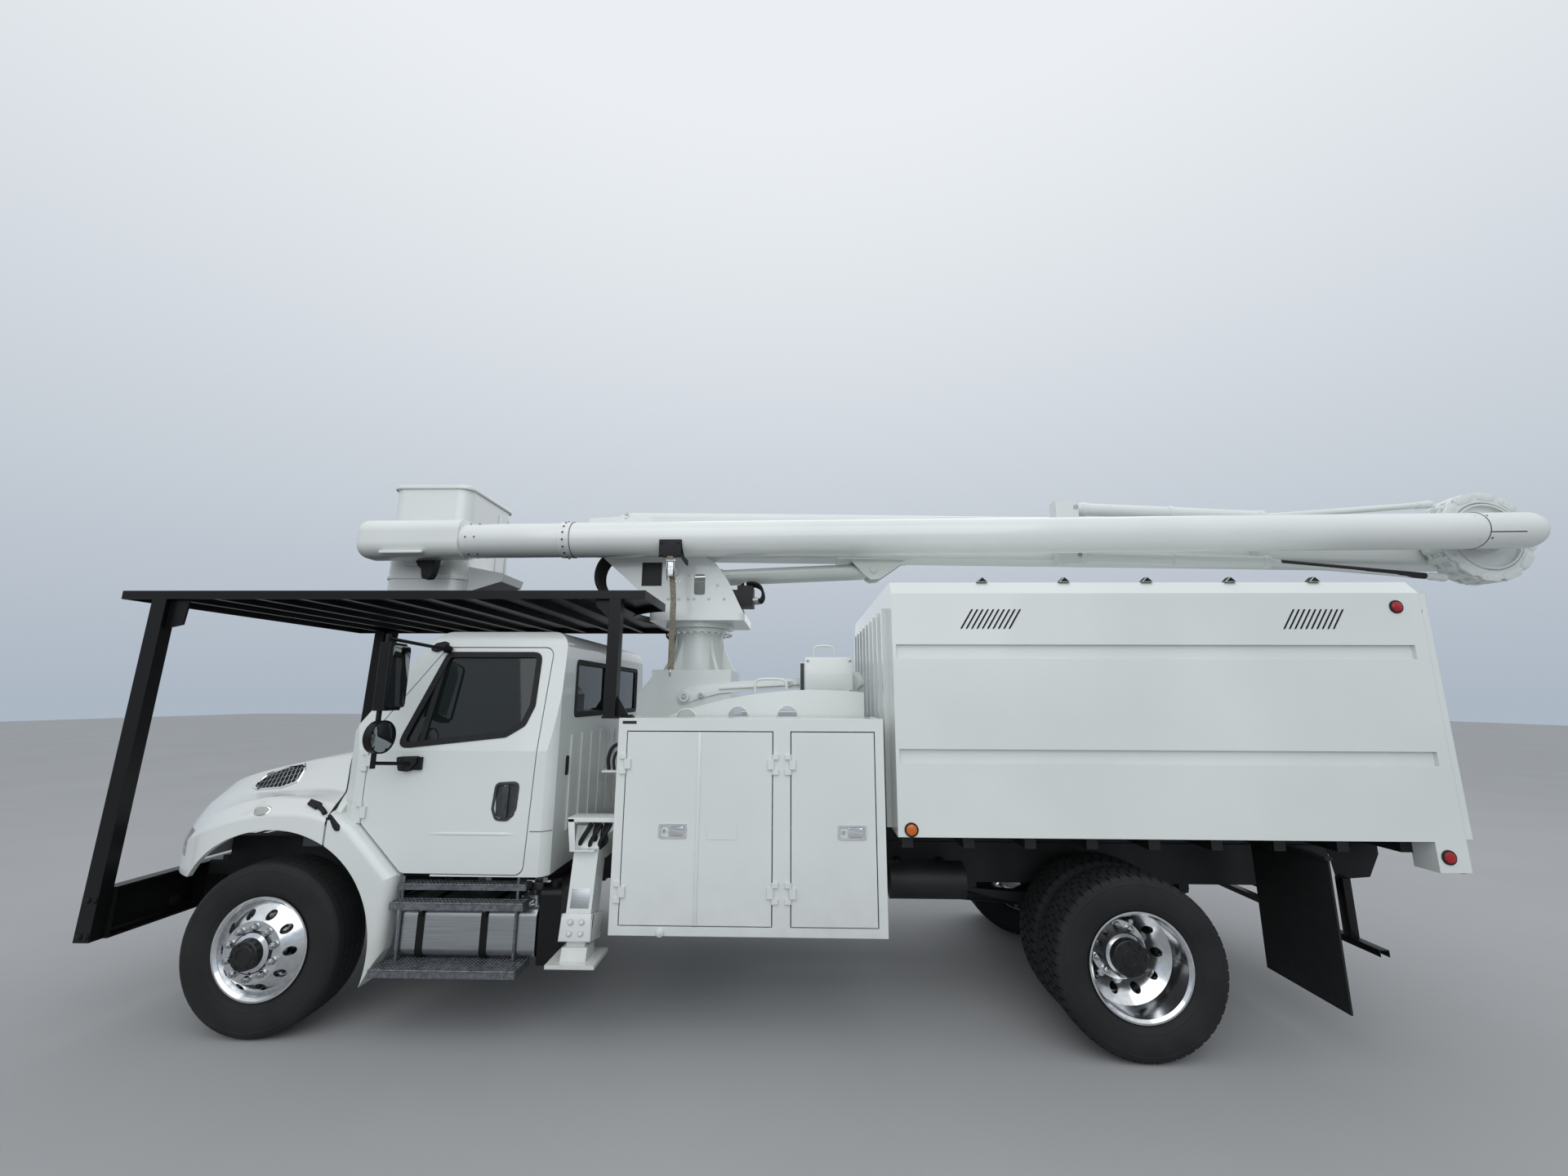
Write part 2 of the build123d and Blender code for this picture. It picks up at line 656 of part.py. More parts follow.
with BuildPart() as intake_mesh:
    # Mesh panels of the two side intakes, set into the hood's skin; they join the grille's node
    for side in (-1, 1):
        side_form(intake_outline, sorted((side * 700, side * 1100)), radius=18, grow=-fit_gap)
    add(mesh_outer, mode=Mode.INTERSECT)
    add(mesh_inner, mode=Mode.SUBTRACT)

with BuildPart() as grille:
    frame_x = (-962, -934)
    edge = 22
    slab(frame_x, (-grille_half + fit_gap, grille_half - fit_gap), (grille_z[0] + fit_gap, grille_z[1] - fit_gap))
    bars = 7
    open_low = grille_z[0] + edge
    open_high = grille_z[1] - edge
    pitch = (open_high - open_low) / bars
    for number in range(bars):
        low = open_low + number * pitch
        for half in ((-grille_half + edge, -6), (6, grille_half - edge)):
            slab((-970, -930), half, (low, low + pitch - 14), mode=Mode.SUBTRACT)
    add(intake_mesh.part)
save(grille.part, "grille")

with BuildPart() as headlamps:
    for side in (-1, 1):
        lens_y = sorted((side * (lamp_y[0] + fit_gap), side * (lamp_y[1] - fit_gap)))
        slab((lamp_x[0], lamp_x[1] - fit_gap), lens_y, (lamp_z[0] + fit_gap, lamp_z[1] - fit_gap))
    add(hood_outer, mode=Mode.INTERSECT)
    add(hood_inner, mode=Mode.SUBTRACT)
save(headlamps.part, "headlamps")

# Cab doors with their glass and mirrors
for side, hand in ((-1, "left"), (1, "right")):
    across = sorted((side * 600, side * (cab_half + 60)))
    with BuildPart() as door:
        side_form(door_outline, across, radius=60, grow=-door_gap)
        add(cab_outer, mode=Mode.INTERSECT)
        add(cab_inner, mode=Mode.SUBTRACT)
        # The leaf ends outside the cab's floor
        slab((cab_front, cab_back), sorted((side * 500, side * (cab_half - cab_wall + 4))),
             (cab_floor - 10, cab_floor + cab_wall + 1), mode=Mode.SUBTRACT)
        side_form(door_window, across, radius=50, mode=Mode.SUBTRACT)
        # Recess of the pull handle
        handle = sorted((side * (cab_half - 24), side * (cab_half + 10)))
        side_form([(1385, 1275), (1370, 1490), (1515, 1500), (1505, 1275)], handle, radius=30, mode=Mode.SUBTRACT)
        slab((1425, 1455), sorted((side * (cab_half - 24), side * (cab_half - 4))), (1300, 1475))
        for low in cab_hinge_rows:
            leaf_knuckle(cab_hinge_x, side * (cab_half + hinge_radius), side, 1, (low, low + 70))
    save(door.part, f"door_{hand}")

    with BuildPart() as door_glass:
        side_form(door_window, across, radius=50, grow=-fit_gap)
        add(glass_outer, mode=Mode.INTERSECT)
        add(glass_inner, mode=Mode.SUBTRACT)
    save(door_glass.part, f"door_glass_{hand}")

    with BuildPart() as mirror:
        arm_y = side * 1300
        seat_y = side * (cab_half + fit_gap)
        # Tall mirror, round spot mirror and the tube loop that carries them
        plan_form([(700, side * 1215), (770, side * 1205), (800, side * 1400), (720, side * 1400)],
                  (1950, 2370), radius=14)
        with BuildSketch(Plane(origin=(axle_x + 706, side * 1310, 1790), z_dir=(1, side * 0.12, 0))) as spot:
            Circle(100)
        extrude(spot.sketch, amount=45)
        bar((700, arm_y, 1600), (700, arm_y, 2430), 15)
        bar((700, arm_y, 1632), (822, seat_y + side * 13, 1608), 11)
        bar((700, arm_y, 2402), (935, side * 1012, 2350), 11)
        slab((790, 880), sorted((seat_y, seat_y + side * 26)), (1570, 1650))
    save(mirror.part, f"mirror_{hand}")

# Head guard: canopy with cross ribs, four posts and their gussets
with BuildPart() as head_guard:
    sheet_z = (guard_top - guard_sheet, guard_top)
    edge_z = (guard_top - guard_edge, guard_top)
    slab((guard_front, guard_rear), (-guard_half, guard_half), sheet_z)
    for side in (-1, 1):
        slab((guard_front, guard_rear), sorted((side * (guard_half - 12), side * guard_half)), edge_z)
    for station in (guard_front + 12, guard_rear):
        slab((station - 12, station), (-guard_half, guard_half), edge_z)
    ribs = 11
    rib_pitch = (guard_rear - guard_front) / (ribs + 1)
    for number in range(1, ribs + 1):
        station = guard_front + number * rib_pitch
        slab((station - 20, station + 20), (-guard_half, guard_half), (guard_top - 50, guard_top - 2))
    disc_z(pedestal_x, 0, guard_notch, (guard_top - 200, guard_top + 50), mode=Mode.SUBTRACT)
    # Rim round the turntable notch
    with BuildSketch(floor_plane(guard_top - guard_edge)) as rim:
        with Locations((pedestal_x, 0)):
            Circle(guard_notch + 12)
            Circle(guard_notch, mode=Mode.SUBTRACT)
        with Locations((guard_rear + 600, 0)):
            Rectangle(1200, 3000, mode=Mode.SUBTRACT)
    extrude(rim.sketch, amount=guard_edge)
    for side in (-1, 1):
        post_y = sorted((side * (guard_half - post_wide), side * guard_half))
        # Front post from the bumper, rear post from a bracket beside the frame
        side_form([(-1177, 527), (-1077, 527), (-1006, guard_top - 30), (-1106, guard_top - 30)], post_y)
        side_form([(-1020, guard_top - 40), (-880, guard_top - 40), (-900, guard_top - 230), (-1030, guard_top - 260)],
                  sorted((side * (guard_half - 50), side * (guard_half - 38))))
        # The rear post stands on a foot plate that is bolted down on the locker's roof
        slab((rear_post_x, rear_post_x + post_wide), post_y, (locker_z[1] + fit_gap, guard_top - 30))
        slab((rear_post_x - 8, rear_post_x + post_wide + 110), post_y, (locker_z[1] + fit_gap, locker_z[1] + fit_gap + 14))
        side_form([(rear_post_x + post_wide - 2, locker_z[1] + 10), (rear_post_x + post_wide + 84, locker_z[1] + 10),
                   (rear_post_x + post_wide - 2, locker_z[1] + 150)],
                  sorted((side * (guard_half - 45), side * (guard_half - 35))))
        side_form([(rear_post_x + 10, guard_top - 40), (rear_post_x - 110, guard_top - 40),
                   (rear_post_x - 100, guard_top - 100), (rear_post_x + 10, guard_top - 210)],
                  sorted((side * (guard_half - 50), side * (guard_half - 38))))
save(head_guard.part, "head_guard")

# Fuel tank on the left with rounded corners; battery box on the right; fluid tank behind
with BuildPart() as fuel_tank:
    end_form([(-tank_half, 445), (-500, 445), (-500, 740), (-tank_half, 740)], (tank_front, tank_rear), radius=55)
    for station in (tank_front + 230, tank_rear - 230):
        slab((station - 30, station + 30), (-500 - 10, -rail_half - fit_gap), (660, 800))
    disc_z(tank_rear - 60, -940, 50, (735, 790))
save(fuel_tank.part, "fuel_tank")

with BuildPart() as side_boxes:
    end_form([(-1060, 400), (-520, 400), (-520, 850), (-1060, 850)], (1702, 1836), radius=40)
    slab((1740, 1820), (-525, -rail_half - fit_gap), (780, 830))
    disc_z(1770, -985, 34, (848, 885))
    slab((815, 1620), (520, 1055), (445, 735))
    slab((860, 920), (rail_half + fit_gap, 530), (700, 790))
    slab((1500, 1560), (rail_half + fit_gap, 530), (700, 790))
save(side_boxes.part, "side_boxes")

with BuildPart() as cab_steps:
    for side in (-1, 1):
        # station range, half-width range and height range of the three treads
        for x, y, z in (((752, 1640), (1000, 1200), (392, 436)),
                        ((812, 1640), (1075, 1160), (752, 795)),
                        ((812, 1620), (1000, 1085), (845, 880))):
            slab(x, sorted((side * y[0], side * y[1])), z)
        # Brackets that carry them from the cab's sill and the fender
        for station in (830, 1560):
            slab((station, station + 14), sorted((side * 1070, side * 1082)), (430, 925 - fit_gap))
save(cab_steps.part, "cab_steps")

# Outriggers
tilt = math.radians(outrigger_tilt)


def leg_plane(side):
    """Plane square to a leg, at the pad: local x along the truck, facing up the leg."""
    return Plane(origin=(axle_x + outrigger_x, side * leg_foot_y, pad_z + 20), x_dir=(1, 0, 0),
                 z_dir=(0, -side * math.sin(tilt), math.cos(tilt)))


with BuildPart() as outrigger_beam:
    for side in (-1, 1):
        with BuildSketch(leg_plane(side).offset(90)) as sleeve:
            Rectangle(sleeve_size, sleeve_size)
            Rectangle(leg_size + 2 * fit_gap, leg_size + 2 * fit_gap, mode=Mode.SUBTRACT)
        extrude(sleeve.sketch, amount=640)
        with BuildSketch(leg_plane(side).offset(90)) as collar:
            Rectangle(sleeve_size + 40, sleeve_size + 40)
            Rectangle(leg_size + 2 * fit_gap, leg_size + 2 * fit_gap, mode=Mode.SUBTRACT)
        extrude(collar.sketch, amount=26)
    slab((outrigger_x - 76, outrigger_x + 76), (-940, 940), (rail_top + fit_gap, 1150))
save(outrigger_beam.part, "outrigger_beam")

for side, hand in ((-1, "left"), (1, "right")):
    with BuildPart() as leg:
        with BuildSketch(leg_plane(side)) as tube:
            Rectangle(leg_size, leg_size)
        extrude(tube.sketch, amount=690)
        slab((outrigger_x - pad_size / 2, outrigger_x + pad_size / 2),
             (side * leg_foot_y - 130, side * leg_foot_y + 130), (pad_z, pad_z + 22))
        end_form([(side * leg_foot_y - 80, pad_z + 20), (side * leg_foot_y + 80, pad_z + 20),
                  (side * leg_foot_y + 60, pad_z + 90), (side * leg_foot_y - 60, pad_z + 90)],
                 (outrigger_x - 76, outrigger_x + 76))
    save(leg.part, f"outrigger_leg_{hand}")

# Pedestal: flared base, column with curved gussets and bearing flange
with BuildPart() as pedestal:
    base_half = 330
    base_top = 2250
    fin_top = pedestal_top - 38
    slab((2160, 2890), (-rail_half, rail_half), (rail_top + fit_gap, rail_top + 50))
    side_form([(2165, base_top), (2165, 2190), (2055, 2060), (2055, 1160 + 10), (2160, rail_top + fit_gap),
               (2890, rail_top + fit_gap), (2890, 1500), (2790, 2080), (2790, base_top)], (-base_half, base_half))
    disc_z(pedestal_x, 0, pedestal_radius, (base_top - 5, pedestal_top - 30))
    disc_z(pedestal_x, 0, bearing_radius - 45, (pedestal_top - 34, pedestal_top))
    # Curved gussets fore, aft and to the sides
    with BuildSketch(side_plane(15)) as fin:
        with BuildLine():
            Line((pedestal_x + 150, base_top - 5), (pedestal_x + 312, base_top - 5))
            RadiusArc((pedestal_x + 312, base_top - 5), (pedestal_x + 198, fin_top), 620)
            Line((pedestal_x + 198, fin_top), (pedestal_x + 150, fin_top))
            Line((pedestal_x + 150, fin_top), (pedestal_x + 150, base_top - 5))
        make_face()
    fin_solid = extrude(fin.sketch, amount=30, mode=Mode.PRIVATE)
    for turn in (0, 52, 128, 180, 232, 308):
        add(fin_solid.rotate(Axis((axle_x + pedestal_x, 0, 0), (0, 0, 1)), turn))
save(pedestal.part, "pedestal")

# Tool rack behind the lockers: pierced plate with a bowed rail above it
with BuildPart() as tool_rack:
    rack_y = (-606, -586)
    with BuildSketch(side_plane(rack_y[1])) as plate:
        with BuildLine():
            Line((2360, 1500), (2360, 1900))
            ThreePointArc((2360, 1900), (2900, 2045), (3800, 2075))
            Line((3800, 2075), (3800, 1500))
            Line((3800, 1500), (2360, 1500))
        make_face()
        with Locations((2500, 1880), (2880, 1900), (3240, 1905)):
            Circle(70, mode=Mode.SUBTRACT)
    extrude(plate.sketch, amount=20)
    slab((2400, 3760), (-586, -564), (1460, 1510))
    for station in (2940, 3700):
        slab((station - 30, station + 30), (-586, -380), (rail_top + fit_gap, 1060))
        slab((station - 30, station + 30), (-586, -564), (rail_top + fit_gap, 1480))
save(tool_rack.part, "tool_rack")


# Turntable
plate_outline = [(2153, turntable_base_z + 60), (2153, 2778), (1715, 3165), (1565, 3390), (1590, 3500), (2060, 3520),
                 (2300, 3330), (2520, 3190), (2650, 3110), (2755, 2960), (2880, turntable_base_z + 60)]
with BuildPart() as turntable:
    disc_z(pedestal_x, 0, bearing_radius, (pedestal_top + fit_gap, turntable_base_z + 2))
    plan_form([(2120, -360), (2890, -360), (2890, 360), (2120, 360)], (turntable_base_z, turntable_base_z + 62),
              radius=60)
    for side in (-1, 1):
        plate_y = sorted((side * (plate_outer - plate_thick), side * plate_outer))
        side_form(plate_outline, plate_y)
        # Window beside the lift cylinder's foot, round at the bottom
        side_form([(2475, 2850), (2565, 2850), (2565, 3020), (2475, 3020)], plate_y, radius=20, mode=Mode.SUBTRACT)
        # Bosses at the boom pin and at the lift cylinder's foot
        disc_y(boom_pivot_x, boom_pivot_z, 110, sorted((side * plate_outer, side * (plate_outer + 8))))
        disc_y(lift_eye_x, lift_eye_z, 70, sorted((side * 75, side * plate_outer)))
    disc_y(boom_pivot_x, boom_pivot_z, boom_pin_radius, (-plate_outer, plate_outer))
    slab((2640, 2660), (-plate_outer + 5, plate_outer - 5), (turntable_base_z + 60, 2900))
save(turntable.part, "turntable")

# Lower boom, in its own plane: local x from the pivot to the elbow, local y up across the boom
boom_run = math.hypot(elbow_x - boom_pivot_x, elbow_z - boom_pivot_z)
boom_angle = math.atan2(elbow_z - boom_pivot_z, elbow_x - boom_pivot_x)


def boom_plane(y):
    """Side plane that leans with the lower boom and starts at its pivot."""
    return Plane(origin=(axle_x + boom_pivot_x, y, boom_pivot_z),
                 x_dir=(math.cos(boom_angle), 0, math.sin(boom_angle)), z_dir=(0, -1, 0))


half_height = lower_height / 2
half_width = lower_width / 2
with BuildPart() as lower_boom:
    with BuildSketch(boom_plane(half_width)) as boom_side:
        with Locations((boom_run / 2, 0)):
            Rectangle(boom_run, lower_height)
        Circle(half_height)
        with Locations((boom_run, 0)):
            Circle(half_height)
    extrude(boom_side.sketch, amount=lower_width)
    fillet(lower_boom.edges().filter_by(GeomType.LINE).filter_by(lambda e: e.length > 5000), 45)
    hub_half = plate_outer - plate_thick - 5
    disc_y(boom_pivot_x, boom_pivot_z, 115, (-hub_half, hub_half))
    disc_y(boom_pivot_x, boom_pivot_z, boom_pin_radius + pin_gap, (-hub_half - 5, hub_half + 5), mode=Mode.SUBTRACT)
    # Elbow shaft out to the chain drum and the upper boom
    disc_y(elbow_x, elbow_z, elbow_shaft_radius, (upper_y - 90, 0))
    disc_y(elbow_x, elbow_z, 110, (drum_far + 5, -half_width + 5))
    # Clevis of the lift cylinder under the boom
    for side in (-1, 1):
        ear = sorted((side * 76, side * 98))
        side_form([(lift_pin_x - 310, 3215), (lift_pin_x - 190, 3190), (lift_pin_x - 90, 3070),
                   (lift_pin_x - 20, 3022), (lift_pin_x + 50, 3030), (lift_pin_x + 310, 3212)], ear, radius=8)
    side_form([(lift_pin_x - 310, 3225), (lift_pin_x - 310, 3195), (lift_pin_x + 310, 3188),
               (lift_pin_x + 310, 3222)], (-125, 125))
    disc_y(lift_pin_x, lift_pin_z, 32, (-106, 106))
save(lower_boom.part, "lower_boom")

# Level gear on the near side of the lower boom: two cylinders, long rods, ends near the chain
gear_y = -216
with BuildPart() as level_gear:
    slab((5455, 5640), (-268, -half_width - fit_gap), (3120, 3655))
    # start and end of the cylinder, end of its rod: station and height
    for a, b, c in (((5600, 3598), (7170, 3520), (8520, 3623)), ((5600, 3192), (7160, 3138), (8520, 3009))):
        bar((a[0], gear_y, a[1]), (b[0], gear_y, b[1]), 51)
        bar((b[0] - 60, gear_y, b[1]), (c[0], gear_y, c[1]), 24)
        with Locations((axle_x + b[0], gear_y, b[1])):
            Sphere(44)
        with Locations((axle_x + c[0], gear_y, c[1])):
            Sphere(34)
    slab((7080, 7130), (-240, -half_width - fit_gap), (3100, 3560))
save(level_gear.part, "level_gear")

# Lift cylinder: the barrel hangs on the boom's clevis, the rod's eye on the turntable
lift_length = math.hypot(lift_pin_x - lift_eye_x, lift_pin_z - lift_eye_z)
lift_plane = Plane(origin=(axle_x + lift_pin_x, 0, lift_pin_z), x_dir=(0, 1, 0),
                   z_dir=(lift_eye_x - lift_pin_x, 0, lift_eye_z - lift_pin_z))
barrel_end = 1330
with BuildPart() as lift_barrel:
    with BuildSketch(lift_plane.offset(90)) as barrel:
        Circle(barrel_radius)
        Circle(rod_radius + pin_gap, mode=Mode.SUBTRACT)
    extrude(barrel.sketch, amount=barrel_end - 90)
    with BuildSketch(lift_plane.offset(70)) as end_cap:
        Circle(barrel_radius)
    extrude(end_cap.sketch, amount=40)
    with BuildSketch(lift_plane.offset(barrel_end - 40)) as gland:
        Circle(barrel_radius + 8)
        Circle(rod_radius + pin_gap, mode=Mode.SUBTRACT)
    extrude(gland.sketch, amount=40)
    disc_y(lift_pin_x, lift_pin_z, 62, (-70, 70))
    with BuildSketch(lift_plane) as neck:
        Rectangle(100, 90)
    extrude(neck.sketch, amount=90)
    disc_y(lift_pin_x, lift_pin_z, 32 + pin_gap, (-80, 80), mode=Mode.SUBTRACT)
save(lift_barrel.part, "lift_barrel")

with BuildPart() as lift_rod:
    with BuildSketch(lift_plane.offset(320)) as rod:
        Circle(rod_radius)
    extrude(rod.sketch, amount=lift_length - 320)
    disc_y(lift_eye_x, lift_eye_z, 60, (-50, 50))
    disc_y(lift_eye_x, lift_eye_z, 34, (-60, 60), mode=Mode.SUBTRACT)
save(lift_rod.part, "lift_rod")

# Chain drum at the elbow
links = 24
with BuildPart() as elbow:
    with BuildSketch(side_plane(drum_far)) as drum:
        with Locations((elbow_x, elbow_z)):
            Circle(chain_radius - 22)
    extrude(drum.sketch, amount=drum_far - drum_near)
    with BuildSketch(side_plane(drum_far - 20)) as rollers:
        with Locations((elbow_x, elbow_z)):
            with PolarLocations(chain_radius - 34, links):
                Circle(34)
    extrude(rollers.sketch, amount=drum_far - drum_near - 40)
    # Dished faces between the hub and the chain
    for face_y in (drum_far, drum_near + 30):
        with BuildSketch(side_plane(face_y)) as dish:
            with Locations((elbow_x, elbow_z)):
                Circle(chain_radius - 90)
                Circle(130, mode=Mode.SUBTRACT)
        extrude(dish.sketch, amount=30, mode=Mode.SUBTRACT)
    disc_y(elbow_x, elbow_z, elbow_shaft_radius + pin_gap, (drum_near - 5, drum_far + 5), mode=Mode.SUBTRACT)
save(elbow.part, "elbow")

# Upper boom: local x from the elbow to the tip, local y up
upper_angle = math.radians(upper_slope)


def upper_plane(run):
    """Plane square to the upper boom at a distance from the elbow, facing the tip."""
    direction = Vector(-math.cos(upper_angle), 0, -math.sin(upper_angle))
    return Plane(origin=Vector(axle_x + elbow_x, upper_y, elbow_z) + direction * run, x_dir=(0, 1, 0),
                 z_dir=direction)


steel_end = 7346       # elbow to the riveted joint of the insulating section
cover_start = 8115     # elbow to the tip cover
with BuildPart() as upper_boom:
    # Half section about the boom's axis: domed cap, steel tube, joint collar and insulating tube
    section_plane = Plane(origin=upper_plane(0).origin, x_dir=upper_plane(0).z_dir, z_dir=(0, 1, 0))
    liner = upper_radius - 4
    with BuildSketch(section_plane) as half_section:
        with BuildLine():
            dome = EllipticalCenterArc((-70, 0), cap_reach - 70, upper_radius, start_angle=90, arc_size=80)
            cap_end = dome @ 1
            Polyline(cap_end, (cap_end.X, 0), (cover_start, 0), (cover_start, liner), (steel_end, liner),
                     (steel_end, upper_radius + 3), (steel_end - 90, upper_radius + 3),
                     (steel_end - 90, upper_radius), (-70, upper_radius))
        make_face()
    revolve(half_section.sketch, axis=Axis(section_plane.origin, section_plane.x_dir))
    disc_y(elbow_x, elbow_z, elbow_shaft_radius + pin_gap, (upper_y - 90.4, upper_y + upper_radius + 5),
           mode=Mode.SUBTRACT)
save(upper_boom.part, "upper_boom")

tip_z = elbow_z - (elbow_x - bucket_pin_x) * math.tan(upper_angle)
with BuildPart() as boom_tip:
    cover_plane = upper_plane(cover_start + fit_gap)
    cover_length = tip_reach - cover_start
    with BuildSketch(cover_plane) as cover:
        with Locations((0, -12)):
            RectangleRounded(2 * upper_radius + 8, 2 * upper_radius + 28, 110)
    extrude(cover.sketch, amount=cover_length)
    fillet(boom_tip.faces().sort_by(Axis.X)[0].edges(), 70)
    disc_y(bucket_pin_x, tip_z, bucket_pin_radius + pin_gap, (upper_y + 40, upper_y + upper_radius + 30),
           mode=Mode.SUBTRACT)
save(boom_tip.part, "boom_tip")

# Bucket with rounded corners, rolled rim, step and its pivot shaft
with BuildPart() as bucket:
    centre = ((bucket_x[0] + bucket_x[1]) / 2, (bucket_y[0] + bucket_y[1]) / 2)
    bucket_size = (bucket_x[1] - bucket_x[0], bucket_y[1] - bucket_y[0])
    rim_out = 14
    with BuildSketch(floor_plane(bucket_z[0])) as outer:
        with Locations(centre):
            RectangleRounded(bucket_size[0] - 2 * rim_out, bucket_size[1] - 2 * rim_out, bucket_corner)
    extrude(outer.sketch, amount=bucket_z[1] - bucket_z[0])
    with BuildSketch(floor_plane(bucket_z[1] - 36)) as rim:
        with Locations(centre):
            RectangleRounded(bucket_size[0], bucket_size[1], bucket_corner + rim_out)
    extrude(rim.sketch, amount=36)
    with BuildSketch(floor_plane(bucket_z[0] + bucket_wall)) as inner:
        with Locations(centre):
            RectangleRounded(bucket_size[0] - 2 * rim_out - 2 * bucket_wall,
                             bucket_size[1] - 2 * rim_out - 2 * bucket_wall, bucket_corner - bucket_wall)
    extrude(inner.sketch, amount=bucket_z[1] - bucket_z[0], mode=Mode.SUBTRACT)
    # Entry step on the rear wall
    side_form([(bucket_x[1] - 20, 3120), (bucket_x[1] + 290, 3060), (bucket_x[1] + 270, 2990),
               (bucket_x[1] - 20, 2900)], (-180, 180), radius=6)
    side_form([(bucket_x[1] + 0, 3095), (bucket_x[1] + 262, 3046), (bucket_x[1] + 250, 3000),
               (bucket_x[1] + 0, 2930)], (-168, 168), radius=4, mode=Mode.SUBTRACT)
    # Mounting plate and shaft into the boom tip
    side_form([(40, tip_z - 150), (360, tip_z - 150), (360, tip_z + 150), (40, tip_z + 150)],
              (bucket_y[0] - 18, bucket_y[0] + rim_out + 2), radius=30)
    disc_y(bucket_pin_x, tip_z, bucket_pin_radius, (upper_y + 42, bucket_y[0]))
save(bucket.part, "bucket")


# Lockers. One row for each opening: side, name, front and rear station, hinge at the front
locker_doors = (
    (-1, "left_front", 2243, 2702, True),
    (-1, "left_middle", 2702, 3163, False),
    (-1, "left_rear", 3270, 3794, True),
    (1, "right_front", 2243, 2990, True),
    (1, "right_rear", 3050, 3794, True),
)
for side, hand in ((-1, "left"), (1, "right")):
    locker_y = sorted((side * locker_outer, side * (locker_outer - locker_depth)))
    with BuildPart() as locker:
        slab(locker_x, locker_y, locker_z)
        partition = 3216 if side < 0 else 3020
        inside_y = sorted((side * (locker_outer - locker_wall), side * (locker_outer - locker_depth + locker_wall)))
        for x in ((locker_x[0] + locker_wall, partition - 15), (partition + 15, locker_x[1] - locker_wall)):
            slab(x, inside_y, (locker_z[0] + locker_wall, locker_z[1] - locker_wall), mode=Mode.SUBTRACT)
            # One shelf in each compartment
            slab(x, inside_y, (1240, 1258))
        # Door openings through the outer wall; a pair shares one opening
        openings = ((2243, 3163), (3270, 3794)) if side < 0 else ((2243, 2990), (3050, 3794))
        mouth = sorted((side * (locker_outer + 5), side * (locker_outer - locker_wall - 5)))
        for opening in openings:
            slab(opening, mouth, locker_opening_z, mode=Mode.SUBTRACT)
        # Drip rail over the doors
        slab((locker_x[0], locker_x[1]), sorted((side * locker_outer, side * (locker_outer - 20))),
             (locker_z[1] - 4, locker_z[1] + 8))
        # Feet on the frame
        for station in (2350, 3700):
            slab((station - 40, station + 40), sorted((side * (rail_half + fit_gap), side * (locker_outer - locker_depth + 10))),
                 (860, 960))
        for row_side, name, front, rear, at_front in locker_doors:
            if row_side == side:
                for low in hinge_rows:
                    frame_knuckles(front if at_front else rear, side * (locker_outer + hinge_radius), side,
                                   1 if at_front else -1, (low, low + 60))
    save(locker.part, f"locker_{hand}")

for side, name, front, rear, at_front in locker_doors:
    low = locker_opening_z[0] + door_gap
    high = locker_opening_z[1] - door_gap
    with BuildPart() as leaf:
        leaf_y = sorted((side * locker_outer, side * (locker_outer - locker_door)))
        slab((front + door_gap, rear - door_gap), leaf_y, (low, high))
        # Folded edge: the back of the leaf is dished
        dish_y = sorted((side * (locker_outer - 8), side * (locker_outer - locker_door - 2)))
        slab((front + 40, rear - 40), dish_y, (low + 34, high - 34), mode=Mode.SUBTRACT)
        # Paddle latch pocket near the free edge
        latch = rear - 150 if at_front else front + 150
        pocket_y = sorted((side * (locker_outer - 6), side * (locker_outer + 5)))
        slab((latch - 84, latch + 84), pocket_y, (1195, 1275), mode=Mode.SUBTRACT)
        for hinge_low in hinge_rows:
            leaf_knuckle(front if at_front else rear, side * (locker_outer + hinge_radius), side,
                         1 if at_front else -1, (hinge_low, hinge_low + 60))
    save(leaf.part, f"locker_door_{name}")

# Chip box: floor, sides, bevelled roof and front wall, open at the rear
with BuildPart() as chip_box:
    outer_end = [(box_half, box_z[0]), (box_half, box_side_top), (box_half - box_bevel, box_z[1])]
    end_form(mirrored(outer_end), box_x)
    inner_end = [(box_half - box_wall, box_z[0] + box_wall), (box_half - box_wall, box_side_top - 24),
                 (box_half - box_bevel - 34, box_z[1] - 36)]
    end_form(mirrored(inner_end), (box_x[0] + box_wall, box_x[1] + 10), mode=Mode.SUBTRACT)
    for side in (-1, 1):
        # Two pressed grooves along each side
        for x, z in (((3943, 7179), (2286, 2374)), ((3945, 7188), (1644, 1727))):
            groove_y = sorted((side * (box_half - 22), side * (box_half + 5)))
            slab(x, groove_y, z, mode=Mode.SUBTRACT)
        # Tail posts below the floor
        slab((7078, box_x[1]), sorted((side * (box_half - 150), side * box_half)), (1040, box_z[0] + 5))
    # Upright ribs on the front wall
    for number in range(9):
        rib_y = -960 + number * 240
        slab((box_x[0] - 32, box_x[0] + 5), (rib_y - 30, rib_y + 30), (box_z[0] + 10, 2640))
    # Rear cross sill
    slab((7150, box_x[1]), (-box_half + 150, box_half - 150), (1110, box_z[0] + 5))
    # Lugs and pins of the tailgate's hinges at the right rear corner
    for low in gate_hinge_rows:
        disc_z(gate_pin_x, gate_pin_y, gate_pin, (low - 40, low + 100))
        for lug in ((low - 40, low - fit_gap), (low + 60 + fit_gap, low + 100)):
            disc_z(gate_pin_x, gate_pin_y, 9, lug)
            slab((gate_pin_x - 18, gate_pin_x + 6), (box_half + 0.5, gate_pin_y), lug)
            slab((box_x[1] - 70, gate_pin_x - 10), (box_half - 3, box_half + 6), lug)
save(chip_box.part, "chip_box")

